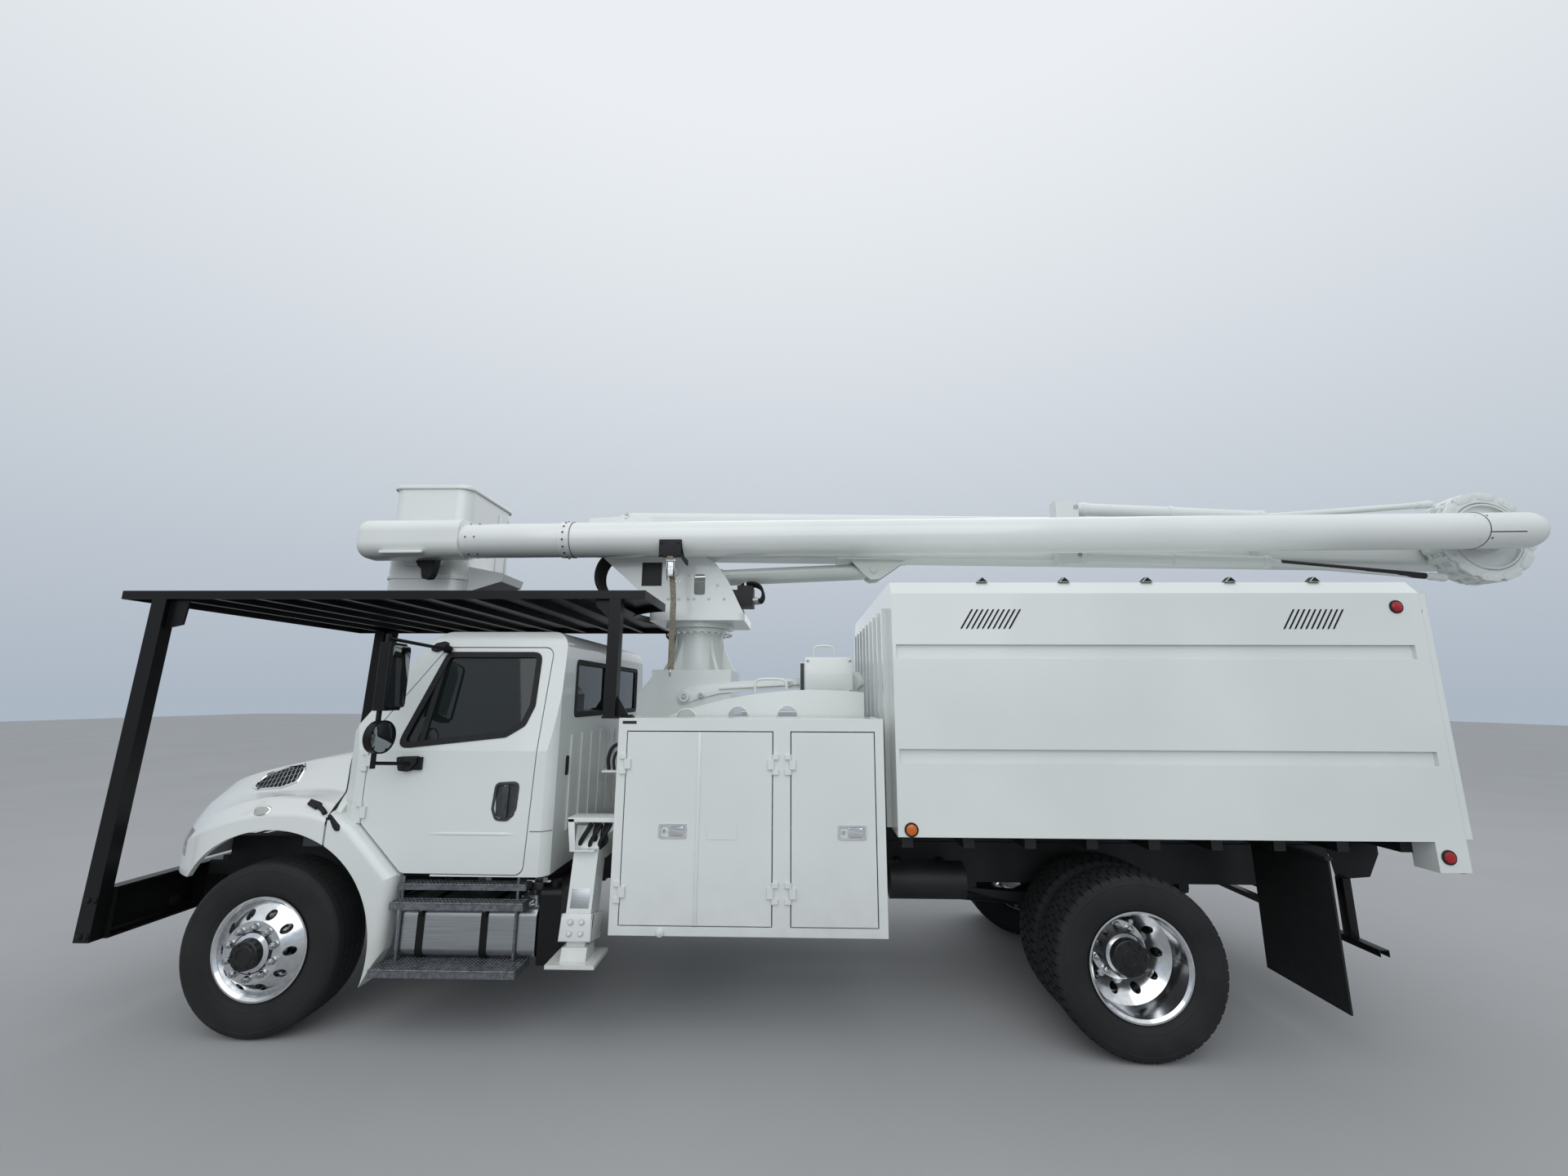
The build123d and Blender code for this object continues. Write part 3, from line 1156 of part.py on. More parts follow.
with BuildPart() as tailgate:
    gate_x = (box_x[1] + fit_gap, box_x[1] + fit_gap + gate_thick)
    gate_y = (-box_half + 5, box_half - 5)
    gate_z = (box_z[0] + 14, box_side_top - 4)
    slab(gate_x, gate_y, gate_z)
    # Panel fields pressed in from outside between the frame bars
    columns = 4
    field = (gate_y[1] - gate_y[0] - 90) / columns
    for number in range(columns):
        left = gate_y[0] + 90 + number * field
        for z in ((gate_z[0] + 80, 1900), (1980, gate_z[1] - 80)):
            slab((gate_x[0] + 14, gate_x[1] + 5), (left, left + field - 90), z, mode=Mode.SUBTRACT)
    # Knuckles on the right edge
    for low in gate_hinge_rows:
        disc_z(gate_pin_x, gate_pin_y, 12, (low, low + 60))
        slab((gate_pin_x - 8, gate_pin_x + 8), (gate_y[1] - 30, gate_pin_y), (low, low + 60))
        disc_z(gate_pin_x, gate_pin_y, gate_pin + pin_gap, (low - 5, low + 65), mode=Mode.SUBTRACT)
save(tailgate.part, "tailgate")

with BuildPart() as box_sills:
    for side in (-1, 1):
        sill_y = sorted((side * 350, side * 420))
        slab((3960, 7140), sill_y, (rail_top + fit_gap, sill_top))
    for number in range(9):
        station = 4000 + number * 380
        slab((station - 35, station + 35), (-1080, 1080), (sill_top + fit_gap, box_z[0] - fit_gap))
save(box_sills.part, "box_sills")

with BuildPart() as mudflaps:
    for side in (-1, 1):
        slab((6455, 6467), sorted((side * 590, side * 1200)), (273, sill_top - 20))
        slab((6440, 6482), sorted((side * (420 + fit_gap), side * 1205)), (sill_top - 21, sill_top - 1))
save(mudflaps.part, "mudflaps")


# Wheels. A rim section is drawn as (radius, distance outward from its own middle)
def rim_band(middle):
    """Barrel and two flanges of a rim about its middle."""
    half = rim_width / 2
    seat = tyre_bore - fit_gap
    right = [(seat, half), (seat + 13, half + 6), (seat + 13, half + 16), (seat + 3, half + 16),
             (seat - 11, half + 2)]
    left = [(r, -a) for r, a in reversed(right)]
    return [(r, middle + a) for r, a in right + left]


def dish(middle, towards):
    """Disc of a rim: a cone from the barrel out to the flat bolting face."""
    face = middle + towards * dual_spacing / 2
    seat = tyre_bore - fit_gap - 5
    points = ((seat, -90), (178, 0), (100, 0), (100, -22), (170, -22), (seat, -116))
    return [(r, face + towards * a) for r, a in points]


def spin(plane, centre_axis, sections):
    """Revolve closed sections about a wheel's axle line."""
    for points in sections:
        revolve(outline(plane, points), axis=centre_axis)


def tyre_ring(plane, centre_axis, middle, side):
    """One tyre: rounded sidewalls and a slightly crowned tread."""
    half = tyre_width / 2
    bead = rim_width / 2
    with BuildSketch(plane) as section:
        with BuildLine():
            Line((tyre_bore, side * (middle - bead)), (tyre_bore, side * (middle + bead)))
            Line((tyre_bore, side * (middle + bead)), (tyre_bore + 15, side * (middle + bead)))
            ThreePointArc((tyre_bore + 15, side * (middle + bead)), (395, side * (middle + half)),
                          (478, side * (middle + half - 9)))
            Line((478, side * (middle + half - 9)), (498, side * (middle + half - 30)))
            ThreePointArc((498, side * (middle + half - 30)), (tyre_radius, side * middle),
                          (498, side * (middle - half + 30)))
            Line((498, side * (middle - half + 30)), (478, side * (middle - half + 9)))
            ThreePointArc((478, side * (middle - half + 9)), (395, side * (middle - half)),
                          (tyre_bore + 15, side * (middle - bead)))
            Line((tyre_bore + 15, side * (middle - bead)), (tyre_bore, side * (middle - bead)))
        make_face()
    revolve(section.sketch, axis=centre_axis)


def hand_holes(station, y):
    """Ten hand holes through a disc, between two distances across the truck."""
    with BuildSketch(side_plane(max(y))) as holes:
        with Locations((station, axle_z)):
            with PolarLocations(212, 10):
                Circle(26)
    extrude(holes.sketch, amount=abs(y[1] - y[0]), mode=Mode.SUBTRACT)


for side, hand in ((-1, "left"), (1, "right")):
    # Front: one wheel, its disc bulging outward
    front_plane = Plane(origin=(axle_x, side * front_track_half, axle_z), x_dir=(1, 0, 0), z_dir=(0, 0, 1))
    front_line = Axis((axle_x, 0, axle_z), (0, 1, 0))
    bore = front_spindle_radius + pin_gap
    face = dual_spacing / 2
    hub = [(bore, -70), (88, -70), (88, face - 28), (118, face - 28), (118, face + 8), (86, face + 20),
           (80, face + 57), (0, face + 57), (0, face + 36), (bore, face + 36)]
    drum = [(84, 46), (84, 64), (206, 64), (214, 56), (214, -60), (200, -60), (200, 46)]
    with BuildPart() as front_wheel:
        sections = (rim_band(0), dish(0, 1), hub, drum)
        spin(front_plane, front_line, [[(r, side * a) for r, a in points] for points in sections])
        hand_holes(0, (side * (front_track_half + 72), side * (front_track_half + 200)))
    save(front_wheel.part, f"front_wheel_{hand}")

    with BuildPart() as front_tyre:
        tyre_ring(front_plane, front_line, 0, side)
    save(front_tyre.part, f"front_tyre_{hand}")

    # Knuckle: fork round the beam's eye, king pin, spindle, back plate and steering arm
    with BuildPart() as knuckle:
        pin_y = side * kingpin_half
        disc_z(0, pin_y, kingpin_radius - pin_gap, (385, 625))
        fork = sorted((side * (kingpin_half - 42), side * (kingpin_half + 84)))
        slab((-46, 46), fork, (555 + fit_gap, 605))
        slab((-46, 46), fork, (405, 455 - fit_gap))
        slab((-60, 60), sorted((side * (kingpin_half + 58), side * (kingpin_half + 84))), (405, 605))
        disc_y(0, axle_z, front_spindle_radius, sorted((side * (kingpin_half + 60), side * (front_track_half + face + 30))))
        disc_y(0, axle_z, 200, sorted((side * (kingpin_half + 84), side * (kingpin_half + 94))))
        arm = [(20, side * (kingpin_half - 30)), (20, side * (kingpin_half + 60)), (205, side * (kingpin_half - 30)),
               (205, side * (kingpin_half - 78))]
        plan_form(arm, (405, 440), radius=8)
    save(knuckle.part, f"knuckle_{hand}")

    # Rear: two wheels bolted face to face
    rear_plane = Plane(origin=(axle_x + wheelbase, side * dual_middle, axle_z), x_dir=(1, 0, 0), z_dir=(0, 0, 1))
    rear_line = Axis((axle_x + wheelbase, 0, axle_z), (0, 1, 0))
    half_pair = dual_spacing / 2
    bore = rear_spindle_radius + pin_gap
    hub = [(bore, -200), (100, -200), (100, -40), (126, -40), (126, 110), (104, 128), (104, 168), (0, 168),
           (0, 146), (bore, 146)]
    drum = [(95, -120), (95, -102), (214, -102), (214, -240), (200, -240), (200, -120)]
    with BuildPart() as rear_wheel:
        sections = (rim_band(half_pair), dish(half_pair, -1), rim_band(-half_pair), dish(-half_pair, 1), hub, drum)
        spin(rear_plane, rear_line, [[(r, side * a) for r, a in points] for points in sections])
        hand_holes(wheelbase, (side * (dual_middle - 98), side * (dual_middle + 98)))
    save(rear_wheel.part, f"rear_wheel_{hand}")

    with BuildPart() as rear_tyres:
        tyre_ring(rear_plane, rear_line, half_pair, side)
        tyre_ring(rear_plane, rear_line, -half_pair, side)
    save(rear_tyres.part, f"rear_tyres_{hand}")
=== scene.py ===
import json
import math

import bmesh
import bpy
from mathutils import Matrix, Vector
from mathutils.bvhtree import BVHTree


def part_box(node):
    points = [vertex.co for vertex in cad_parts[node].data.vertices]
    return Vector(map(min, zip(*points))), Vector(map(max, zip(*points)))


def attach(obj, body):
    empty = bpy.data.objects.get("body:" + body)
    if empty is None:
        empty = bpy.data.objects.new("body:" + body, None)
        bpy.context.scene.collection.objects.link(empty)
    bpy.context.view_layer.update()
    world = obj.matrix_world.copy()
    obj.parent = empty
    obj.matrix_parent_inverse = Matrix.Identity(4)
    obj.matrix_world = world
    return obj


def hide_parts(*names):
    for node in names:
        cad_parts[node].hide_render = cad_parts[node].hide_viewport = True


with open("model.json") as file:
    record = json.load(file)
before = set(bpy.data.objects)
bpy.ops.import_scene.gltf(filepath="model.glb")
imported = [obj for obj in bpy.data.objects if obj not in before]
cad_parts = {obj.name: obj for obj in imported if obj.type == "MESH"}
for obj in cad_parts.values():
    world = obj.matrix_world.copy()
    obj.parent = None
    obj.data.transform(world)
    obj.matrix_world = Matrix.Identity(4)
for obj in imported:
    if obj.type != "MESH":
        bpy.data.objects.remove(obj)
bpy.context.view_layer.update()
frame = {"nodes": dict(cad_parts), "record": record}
nodes = frame["nodes"]

# Places are written in millimetres: station behind the front axle, distance across, height
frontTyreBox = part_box("front_tyre_left")
axleStation = (frontTyreBox[0].x + frontTyreBox[1].x) / 2
wheelbase, wheelHeight = 5310, 505
doorHalf, bodyHalf = 1085, 1219  # outer faces of the doors, and of lockers and chip box
hands = ((-1, "left"), (1, "right"))


def at(station, across, height):
    return Vector((axleStation + station / 1000, across / 1000, height / 1000))


def placeOf(point):  # the way back from a vector
    return ((point.x - axleStation) * 1000, point.y * 1000, point.z * 1000)


def span(side, near, far):  # two distances across on one side of the truck, the lower first
    return sorted((side * near, side * far))


def spread(start, end, count):  # evenly spaced, both ends included
    return [start + (end - start) * i / (count - 1) for i in range(count)]


def between(a, b, share):
    return tuple(p + (q - p) * share for p, q in zip(a, b))


def rectangle(x, z):
    return [(x[0], z[0]), (x[1], z[0]), (x[1], z[1]), (x[0], z[1])]


def boltCircle(centre, radius, count, shift=0.0):
    turns = [2 * math.pi * (i + shift) / count for i in range(count)]
    return [(centre[0] + radius * math.cos(turn), centre[1] + radius * math.sin(turn)) for turn in turns]


def linearColour(code):  # sRGB hex to Blender's linear colour
    parts = [int(code[i:i + 2], 16) / 255 for i in (1, 3, 5)]
    return tuple(c / 12.92 if c <= 0.04045 else ((c + 0.055) / 1.055) ** 2.4 for c in parts) + (1,)


def addNode(tree, kind, settings=None, links=None):
    node = tree.nodes.new(kind)
    for key, value in (settings or {}).items():
        if isinstance(key, int) or key in node.inputs:
            node.inputs[key].default_value = value
        else:
            setattr(node, key, value)
    for key, source in (links or {}).items():
        tree.links.new(source, node.inputs[key])
    return node


# Camera: fitted to the photograph's wheels, chip box and cab
cameraPlace = {"position": (-0.606, -4.9982, 2.0448), "yaw": 1.368, "pitch": 10.444, "roll": 0.201, "lens": 13.51}


def placeCamera(place):
    yaw, pitch, roll = (math.radians(place[key]) for key in ("yaw", "pitch", "roll"))
    ahead = Vector((-math.sin(yaw) * math.cos(pitch), math.cos(yaw) * math.cos(pitch), math.sin(pitch)))
    level = Vector((math.cos(yaw), math.sin(yaw), 0))
    upright = level.cross(ahead)
    right = math.cos(roll) * level + math.sin(roll) * upright
    up = math.cos(roll) * upright - math.sin(roll) * level
    data = bpy.data.cameras.new("camera")
    data.sensor_width = 36
    data.lens = place["lens"]
    data.clip_end = 300
    camera = bpy.data.objects.new("camera", data)
    turn = Matrix((right, up, -ahead)).transposed().to_4x4()
    camera.matrix_world = Matrix.Translation(place["position"]) @ turn
    bpy.context.scene.collection.objects.link(camera)
    bpy.context.scene.camera = camera


placeCamera(cameraPlace)
print("camera set")

# Light: an overcast sky, two broad soft lamps, the stronger on the camera's side, and a pale yard
lighting = {
    "zenith": "#EDF1F5", "horizon": "#AEB9C6", "skyStrength": 0.98, "skyTop": 0.75, "lampSize": 14,
    "lamps": (("nearLamp", (-1, -11, 9), (0, 0, 1.5), 700), ("farLamp", (3, 10, 9), (0, 0, 2), 280)),
    "concrete": ("#9D9E9F", "#AAABAC"), "floor": (-60, 60),
}


def buildStage(look):
    scene = bpy.context.scene
    scene.view_settings.view_transform = "Standard"
    world = bpy.data.worlds.new("overcast")
    scene.world = world
    world.use_nodes = True
    tree = world.node_tree
    tree.nodes.clear()
    direction = addNode(tree, "ShaderNodeTexCoord")
    split = addNode(tree, "ShaderNodeSeparateXYZ", links={"Vector": direction.outputs["Generated"]})
    ramp = addNode(tree, "ShaderNodeValToRGB", links={"Fac": split.outputs["Z"]})
    ramp.color_ramp.elements[0].color = linearColour(look["horizon"])
    ramp.color_ramp.elements[1].color = linearColour(look["zenith"])
    ramp.color_ramp.elements[1].position = look["skyTop"]
    sky = addNode(tree, "ShaderNodeBackground", {"Strength": look["skyStrength"]}, {"Color": ramp.outputs["Color"]})
    addNode(tree, "ShaderNodeOutputWorld", links={"Surface": sky.outputs["Background"]})

    concrete = bpy.data.materials.new("paleConcrete")
    concrete.use_nodes = True
    tree = concrete.node_tree
    shader = tree.nodes["Principled BSDF"]
    shader.inputs["Roughness"].default_value = 0.85
    place = addNode(tree, "ShaderNodeTexCoord")
    grain = addNode(tree, "ShaderNodeTexNoise", {"Scale": 0.5, "Detail": 6}, {"Vector": place.outputs["Object"]})
    tone = addNode(tree, "ShaderNodeValToRGB", links={"Fac": grain.outputs["Fac"]})
    for element, code in zip(tone.color_ramp.elements, look["concrete"]):
        element.color = linearColour(code)
    tree.links.new(tone.outputs["Color"], shader.inputs["Base Color"])
    mesh = bpy.data.meshes.new("yardFloor")
    mesh.from_pydata([(*corner, 0) for corner in rectangle(look["floor"], look["floor"])], [], [(0, 1, 2, 3)])
    mesh.materials.append(concrete)
    floor = bpy.data.objects.new("yardFloor", mesh)
    scene.collection.objects.link(floor)

    for name, spot, aim, power in look["lamps"]:
        data = bpy.data.lights.new(name, "AREA")
        data.energy = power
        data.size = look["lampSize"]
        lamp = bpy.data.objects.new(name, data)
        lamp.location = spot
        lamp.rotation_euler = (Vector(aim) - Vector(spot)).to_track_quat("-Z", "Y").to_euler()
        scene.collection.objects.link(lamp)


buildStage(lighting)
print("stage set")


# Materials. Every one starts from a principled shader; patterns use the mesh's own coordinates
def startMaterial(name, roughness, metallic=0.0, **sockets):
    material = bpy.data.materials.new(name)
    material.use_nodes = True
    tree = material.node_tree
    shader = tree.nodes["Principled BSDF"]
    shader.inputs["Roughness"].default_value = roughness
    shader.inputs["Metallic"].default_value = metallic
    for key, value in sockets.items():
        shader.inputs[key.replace("_", " ")].default_value = value
    place = addNode(tree, "ShaderNodeTexCoord")
    return material, tree, shader, place.outputs["Object"]


def blotches(tree, place, shader, codes, scale):
    noise = addNode(tree, "ShaderNodeTexNoise", {"Scale": scale, "Detail": 3.0}, {"Vector": place})
    ramp = addNode(tree, "ShaderNodeValToRGB", links={"Fac": noise.outputs["Fac"]})
    for element, code, spot in zip(ramp.color_ramp.elements, codes, (0.35, 0.65)):
        element.color = linearColour(code)
        element.position = spot
    tree.links.new(ramp.outputs["Color"], shader.inputs["Base Color"])
    return ramp


def bumps(tree, place, shader, scale, depth, strength, edge=0.0):
    noise = addNode(tree, "ShaderNodeTexNoise", {"Scale": scale, "Detail": 2.0}, {"Vector": place})
    bump = addNode(tree, "ShaderNodeBump", {"Strength": strength, "Distance": depth},
                   {"Height": noise.outputs["Fac"]})
    if edge:  # rounds the sharp edges of folded sheet in the shading
        soft = addNode(tree, "ShaderNodeBevel", {"samples": 4, "Radius": edge})
        tree.links.new(soft.outputs["Normal"], bump.inputs["Normal"])
    tree.links.new(bump.outputs["Normal"], shader.inputs["Normal"])


def roadDust(tree, place, shader, ramp, code, low, high, share):
    split = addNode(tree, "ShaderNodeSeparateXYZ", links={"Vector": place})
    fade = addNode(tree, "ShaderNodeMapRange", {"From Min": low, "From Max": high, "To Min": share, "To Max": 0.0},
                   {"Value": split.outputs["Z"]})
    cloud = addNode(tree, "ShaderNodeTexNoise", {"Scale": 9.0, "Detail": 6.0}, {"Vector": place})
    amount = addNode(tree, "ShaderNodeMath", {"operation": "MULTIPLY"},
                     {0: fade.outputs["Result"], 1: cloud.outputs["Fac"]})
    mix = addNode(tree, "ShaderNodeMix", {"data_type": "RGBA", 7: linearColour(code)},
                  {0: amount.outputs["Value"], 6: ramp.outputs["Color"]})
    tree.links.new(mix.outputs[2], shader.inputs["Base Color"])


def makeEnamel(name, codes, dust=None, roughness=0.32, coat=0.7):
    # Sprayed polyurethane enamel on steel sheet: a mirror-like coat with a faint orange peel
    material, tree, shader, place = startMaterial(name, roughness, Coat_Weight=coat, Coat_Roughness=0.06)
    ramp = blotches(tree, place, shader, codes, 0.9)
    bumps(tree, place, shader, 7.0, 0.0012, 0.12, edge=0.004)  # slow waves of the sheet, 140 mm apart
    if dust:
        roadDust(tree, place, shader, ramp, *dust)
    return material


def makeMetal(name, codes, roughness, grain, depth, edge=0.0):
    # Bare aluminium or steel: the grain gives the eye its direction
    material, tree, shader, place = startMaterial(name, roughness, 1.0)
    stretch = addNode(tree, "ShaderNodeMapping", {"Scale": grain}, {"Vector": place})
    blotches(tree, stretch.outputs["Vector"], shader, codes, 1.0)
    bumps(tree, stretch.outputs["Vector"], shader, 1.0, depth, 0.4, edge=edge)
    return material


def makePlastic(name, codes, roughness, scale, depth, edge=0.002):
    # Moulded or sheet polymer with a fine leather grain
    material, tree, shader, place = startMaterial(name, roughness)
    blotches(tree, place, shader, codes, scale / 12)
    bumps(tree, place, shader, scale, depth, 0.5, edge=edge)
    return material


def makeClear(name, code, roughness, transmission, ior):
    # Glass or polycarbonate; the faint bump is the waviness of a large pane
    material, tree, shader, place = startMaterial(name, roughness, Transmission_Weight=transmission, IOR=ior)
    blotches(tree, place, shader, (code, code), 3.0)
    bumps(tree, place, shader, 4.0, 0.0006, 0.08)
    return material


whiteEnamel = makeEnamel("whiteEnamel", ("#D8DCD9", "#DFE3E0"), ("#8E867A", 0.3, 1.15, 0.5))
whiteGelcoat = makeEnamel("whiteGelcoat", ("#DCDFDC", "#E3E6E3"))
blackEnamel = makeEnamel("blackEnamel", ("#040405", "#070809"), ("#3A3834", 0.3, 1.2, 0.2), 0.4, 0.0)
blackEnamel.node_tree.nodes["Principled BSDF"].inputs["Specular IOR Level"].default_value = 0.3
polishedAluminium = makeMetal("polishedAluminium", ("#D9DBDC", "#E8E9EA"), 0.14, (30, 30, 30), 0.0002)
brushedAluminium = makeMetal("brushedAluminium", ("#9FA2A4", "#C3C6C8"), 0.33, (3, 60, 600), 0.0003)
treadAluminium = makeMetal("treadAluminium", ("#6B6E72", "#8A8D90"), 0.55, (40, 40, 40), 0.0008, edge=0.003)
chromePlate = makeMetal("chromePlate", ("#E3E5E7", "#F0F1F2"), 0.07, (8, 8, 8), 0.0001)
darkSteel = makePlastic("paintedDarkSteel", ("#0B0C0D", "#191A1C"), 0.55, 60, 0.0006)
greyPlastic = makePlastic("greyPolypropylene", ("#2E3134", "#3A3D40"), 0.6, 300, 0.0004)
blackRubber = makePlastic("blackRubber", ("#0C0C0D", "#161617"), 0.72, 200, 0.0004)
seatCloth = makePlastic("greySeatCloth", ("#2B2D30", "#4A4D51"), 0.9, 700, 0.0008)
paneGlass = makeClear("tintedPaneGlass", "#3F4A49", 0.02, 0.85, 1.52)
clearLens = makeClear("clearPolycarbonate", "#E8ECEE", 0.05, 0.9, 1.58)
redLens = makeClear("redPolycarbonateLens", "#B3121B", 0.12, 0.25, 1.58)
orangeLens = makeClear("amberPolycarbonateLens", "#E0701A", 0.12, 0.25, 1.58)
slotMaterials = {
    "white_paint": whiteEnamel, "white_fibreglass": whiteGelcoat, "black_paint": blackEnamel,
    "black_rubber": blackRubber, "polished_aluminium": polishedAluminium, "grey_aluminium": treadAluminium,
    "glass": paneGlass, "chrome": chromePlate, "lamp_plastic": clearLens, "dark_steel": darkSteel,
    "grey_plastic": greyPlastic, "seat_cloth": seatCloth,
}
nodeMaterials = {"fuel_tank": brushedAluminium}
nodeSlots = {row["node"]: row["material_slot"] for row in frame["record"]["subparts"]}
for nodeName, nodeObject in nodes.items():
    finish = nodeMaterials.get(nodeName) or slotMaterials[nodeSlots[nodeName]]
    nodeObject.data.materials.clear()
    nodeObject.data.materials.append(finish)
print("frame painted")


# Mesh helpers: places are (station, across, height) in millimetres unless they are vectors
def addSkin(shape, rings, finish=0, closed=True, ends=True):
    rows = [[shape.verts.new(point) for point in ring] for ring in rings]
    count = len(rows[0])
    for near, far in zip(rows, rows[1:]):
        for i in range(count if closed else count - 1):
            j = (i + 1) % count
            shape.faces.new((near[i], near[j], far[j], far[i])).material_index = finish
    if ends:
        for row in (rows[0][::-1], rows[-1]):
            shape.faces.new(row).material_index = finish
    return rows


def addPrism(shape, outline, depth, finish, edge):
    rows = addSkin(shape, [outline, [point + depth for point in outline]], finish)
    if edge:
        edges = {line for row in rows for vert in row for line in vert.link_edges}
        bmesh.ops.bevel(shape, geom=list(edges), offset=edge / 1000, segments=2, profile=0.6,
                        affect="EDGES", clamp_overlap=True)


def addBlock(shape, x, y, z, finish=0, edge=0):
    addPrism(shape, [at(a, b, z[0]) for a, b in rectangle(x, y)], Vector((0, 0, (z[1] - z[0]) / 1000)), finish, edge)


def addPlate(shape, points, y, finish, edge):  # side-view outline (station, height) between two widths
    addPrism(shape, [at(x, y[0], z) for x, z in points], Vector((0, (y[1] - y[0]) / 1000, 0)), finish, edge)


def addFace(shape, points, finish=0):
    shape.faces.new([shape.verts.new(point) for point in points]).material_index = finish


def roundRing(centre, side, other, radius, count):
    return [centre + (side * a + other * b) * radius for a, b in boltCircle((0, 0), 1, count)]


def addLathe(shape, profile, centre, direction, sides=48, finish=0, ends=False):
    # profile rows are (radius, distance along the axle), in millimetres
    direction = Vector(direction).normalized()
    side = direction.orthogonal().normalized()
    other = direction.cross(side).normalized()
    rings = [roundRing(at(*centre) + direction * along / 1000, side, other, max(radius, 0.01) / 1000, sides)
             for radius, along in profile]
    addSkin(shape, rings, finish, ends=ends)


def addRod(shape, start, end, radius, sides=14, finish=0, farRadius=None):
    line = at(*end) - at(*start)
    addLathe(shape, ((radius, 0), (radius if farRadius is None else farRadius, line.length * 1000)), start, line,
             sides, finish, ends=True)


def addHexNut(shape, centre, direction, flats, height, finish=0, washer=0):
    corner = flats / 2 / math.cos(math.pi / 6)
    addLathe(shape, ((corner, 0), (corner, height - 2), (corner - 2, height)), centre, direction, 6, finish, True)
    if washer:
        addLathe(shape, ((washer, 0), (washer, 5), (corner, 6)), centre, direction, 20, finish)


def smoothPath(points, steps):  # Catmull-Rom through the given places
    places = [Vector(point) for point in points]
    places = [places[0] * 2 - places[1]] + places + [places[-1] * 2 - places[-2]]
    path = []
    for a, b, c, d in zip(places, places[1:], places[2:], places[3:]):
        for i in range(steps):
            t = i / steps
            path.append(0.5 * (2 * b + (c - a) * t + (2 * a - 5 * b + 4 * c - d) * t * t
                               + (3 * b - a - 3 * c + d) * t ** 3))
    return path + [places[-2]]


def addTube(shape, points, radius, sides=10, finish=0, steps=6):
    path = [at(*place) for place in (smoothPath(points, steps) if steps else points)]
    direction = (path[1] - path[0]).normalized()
    side = direction.orthogonal().normalized()
    rings = []
    for i, place in enumerate(path):
        ahead = (path[min(i + 1, len(path) - 1)] - path[max(i - 1, 0)]).normalized()
        side = (side - ahead * side.dot(ahead)).normalized()
        rings.append(roundRing(place, side, ahead.cross(side), radius / 1000, sides))
    addSkin(shape, rings, finish)


def growOutline(points, amount):  # moves each edge of a flat outline outward
    count = len(points)
    area = sum(points[i - 1][0] * points[i][1] - points[i][0] * points[i - 1][1] for i in range(count))
    sign = 1 if area > 0 else -1
    lines = []
    for i in range(count):
        (ax, ay), (bx, by) = points[i - 1], points[i]
        length = math.hypot(bx - ax, by - ay) or 1
        nx, ny = sign * (by - ay) / length, -sign * (bx - ax) / length
        lines.append((nx, ny, nx * ax + ny * ay + amount))
    grown = []
    for i in range(count):
        a, b = lines[i], lines[(i + 1) % count]
        det = a[0] * b[1] - b[0] * a[1]
        if abs(det) < 1e-6:
            grown.append((points[i][0] + a[0] * amount, points[i][1] + a[1] * amount))
        else:
            grown.append(((a[2] * b[1] - b[2] * a[1]) / det, (a[0] * b[2] - b[0] * a[2]) / det))
    return grown


def roundOutline(points, radius, steps=5):  # a quarter-turn curve at each corner
    rounded = []
    for i, corner in enumerate(points):
        corner = Vector(corner)
        before, after = Vector(points[i - 1]) - corner, Vector(points[(i + 1) % len(points)]) - corner
        reach = min(radius / math.tan(before.angle(after) / 2), before.length * 0.48, after.length * 0.48)
        start, end = corner + before.normalized() * reach, corner + after.normalized() * reach
        for k in range(steps + 1):
            t = k / steps
            rounded.append(tuple(start * (1 - t) ** 2 + corner * 2 * t * (1 - t) + end * t * t))
    return rounded


def addBand(shape, points, radius, inner, outer, lift, finish=0):
    # A raised strip along an outline; lift turns (a, b, height above the surface) into a place
    low, high = growOutline(points, inner), growOutline(points, outer)
    low, high = roundOutline(low, max(radius + inner, 4)), roundOutline(high, max(radius + outer, 4))
    sunk, proud = -2, 5
    rows = [[lift(a, b, height) for a, b in ring] for ring, height in
            ((low, sunk), (low, proud), (high, proud), (high, sunk))]
    addSkin(shape, rows + rows[:1], finish, ends=False)


def drape(outline, around, side, lift, rise=0):  # an outline laid on the distances across found for it
    return [at(x, side * (y + lift), z + rise) for (x, z), y in zip(outline, around)]


creaseAngle = math.radians(35)


def placePiece(shape, name, body, finishes):
    bmesh.ops.remove_doubles(shape, verts=shape.verts, dist=0.00002)
    bmesh.ops.recalc_face_normals(shape, faces=shape.faces)
    mesh = bpy.data.meshes.new(name)
    shape.to_mesh(mesh)
    shape.free()
    for finish in finishes:
        mesh.materials.append(finish)
    mesh.polygons.foreach_set("use_smooth", [True] * len(mesh.polygons))
    mesh.set_sharp_from_angle(angle=creaseAngle)
    piece = bpy.data.objects.new(name, mesh)
    bpy.context.scene.collection.objects.link(piece)
    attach(piece, body)
    return piece


# Tyres: radial truck tyres, ribbed on the steering axle and lugged on the driving one
tyre = {
    "outer": 504.5, "crownDrop": 7, "grooveDepth": 13, "shoulder": (497, 113, 7),
    "ribs": ((-112, -73), (-65, -27), (-19, 19), (27, 65), (73, 112)),
    "steerPitches": 56, "drivePitches": 50, "steerShare": 0.93, "driveShare": 0.76,
    "sidewall": ((288, 101.5), (303, 102), (306, 107), (320, 113.5), (340, 124), (343, 126.5), (347, 126.8),
                 (350, 127.5), (362, 132), (380, 136.4), (400, 138.8), (420, 139.4), (440, 138.2), (452, 136.4),
                 (454, 137.6), (459, 137), (461, 135), (470, 132.8), (478, 130.4)),
}


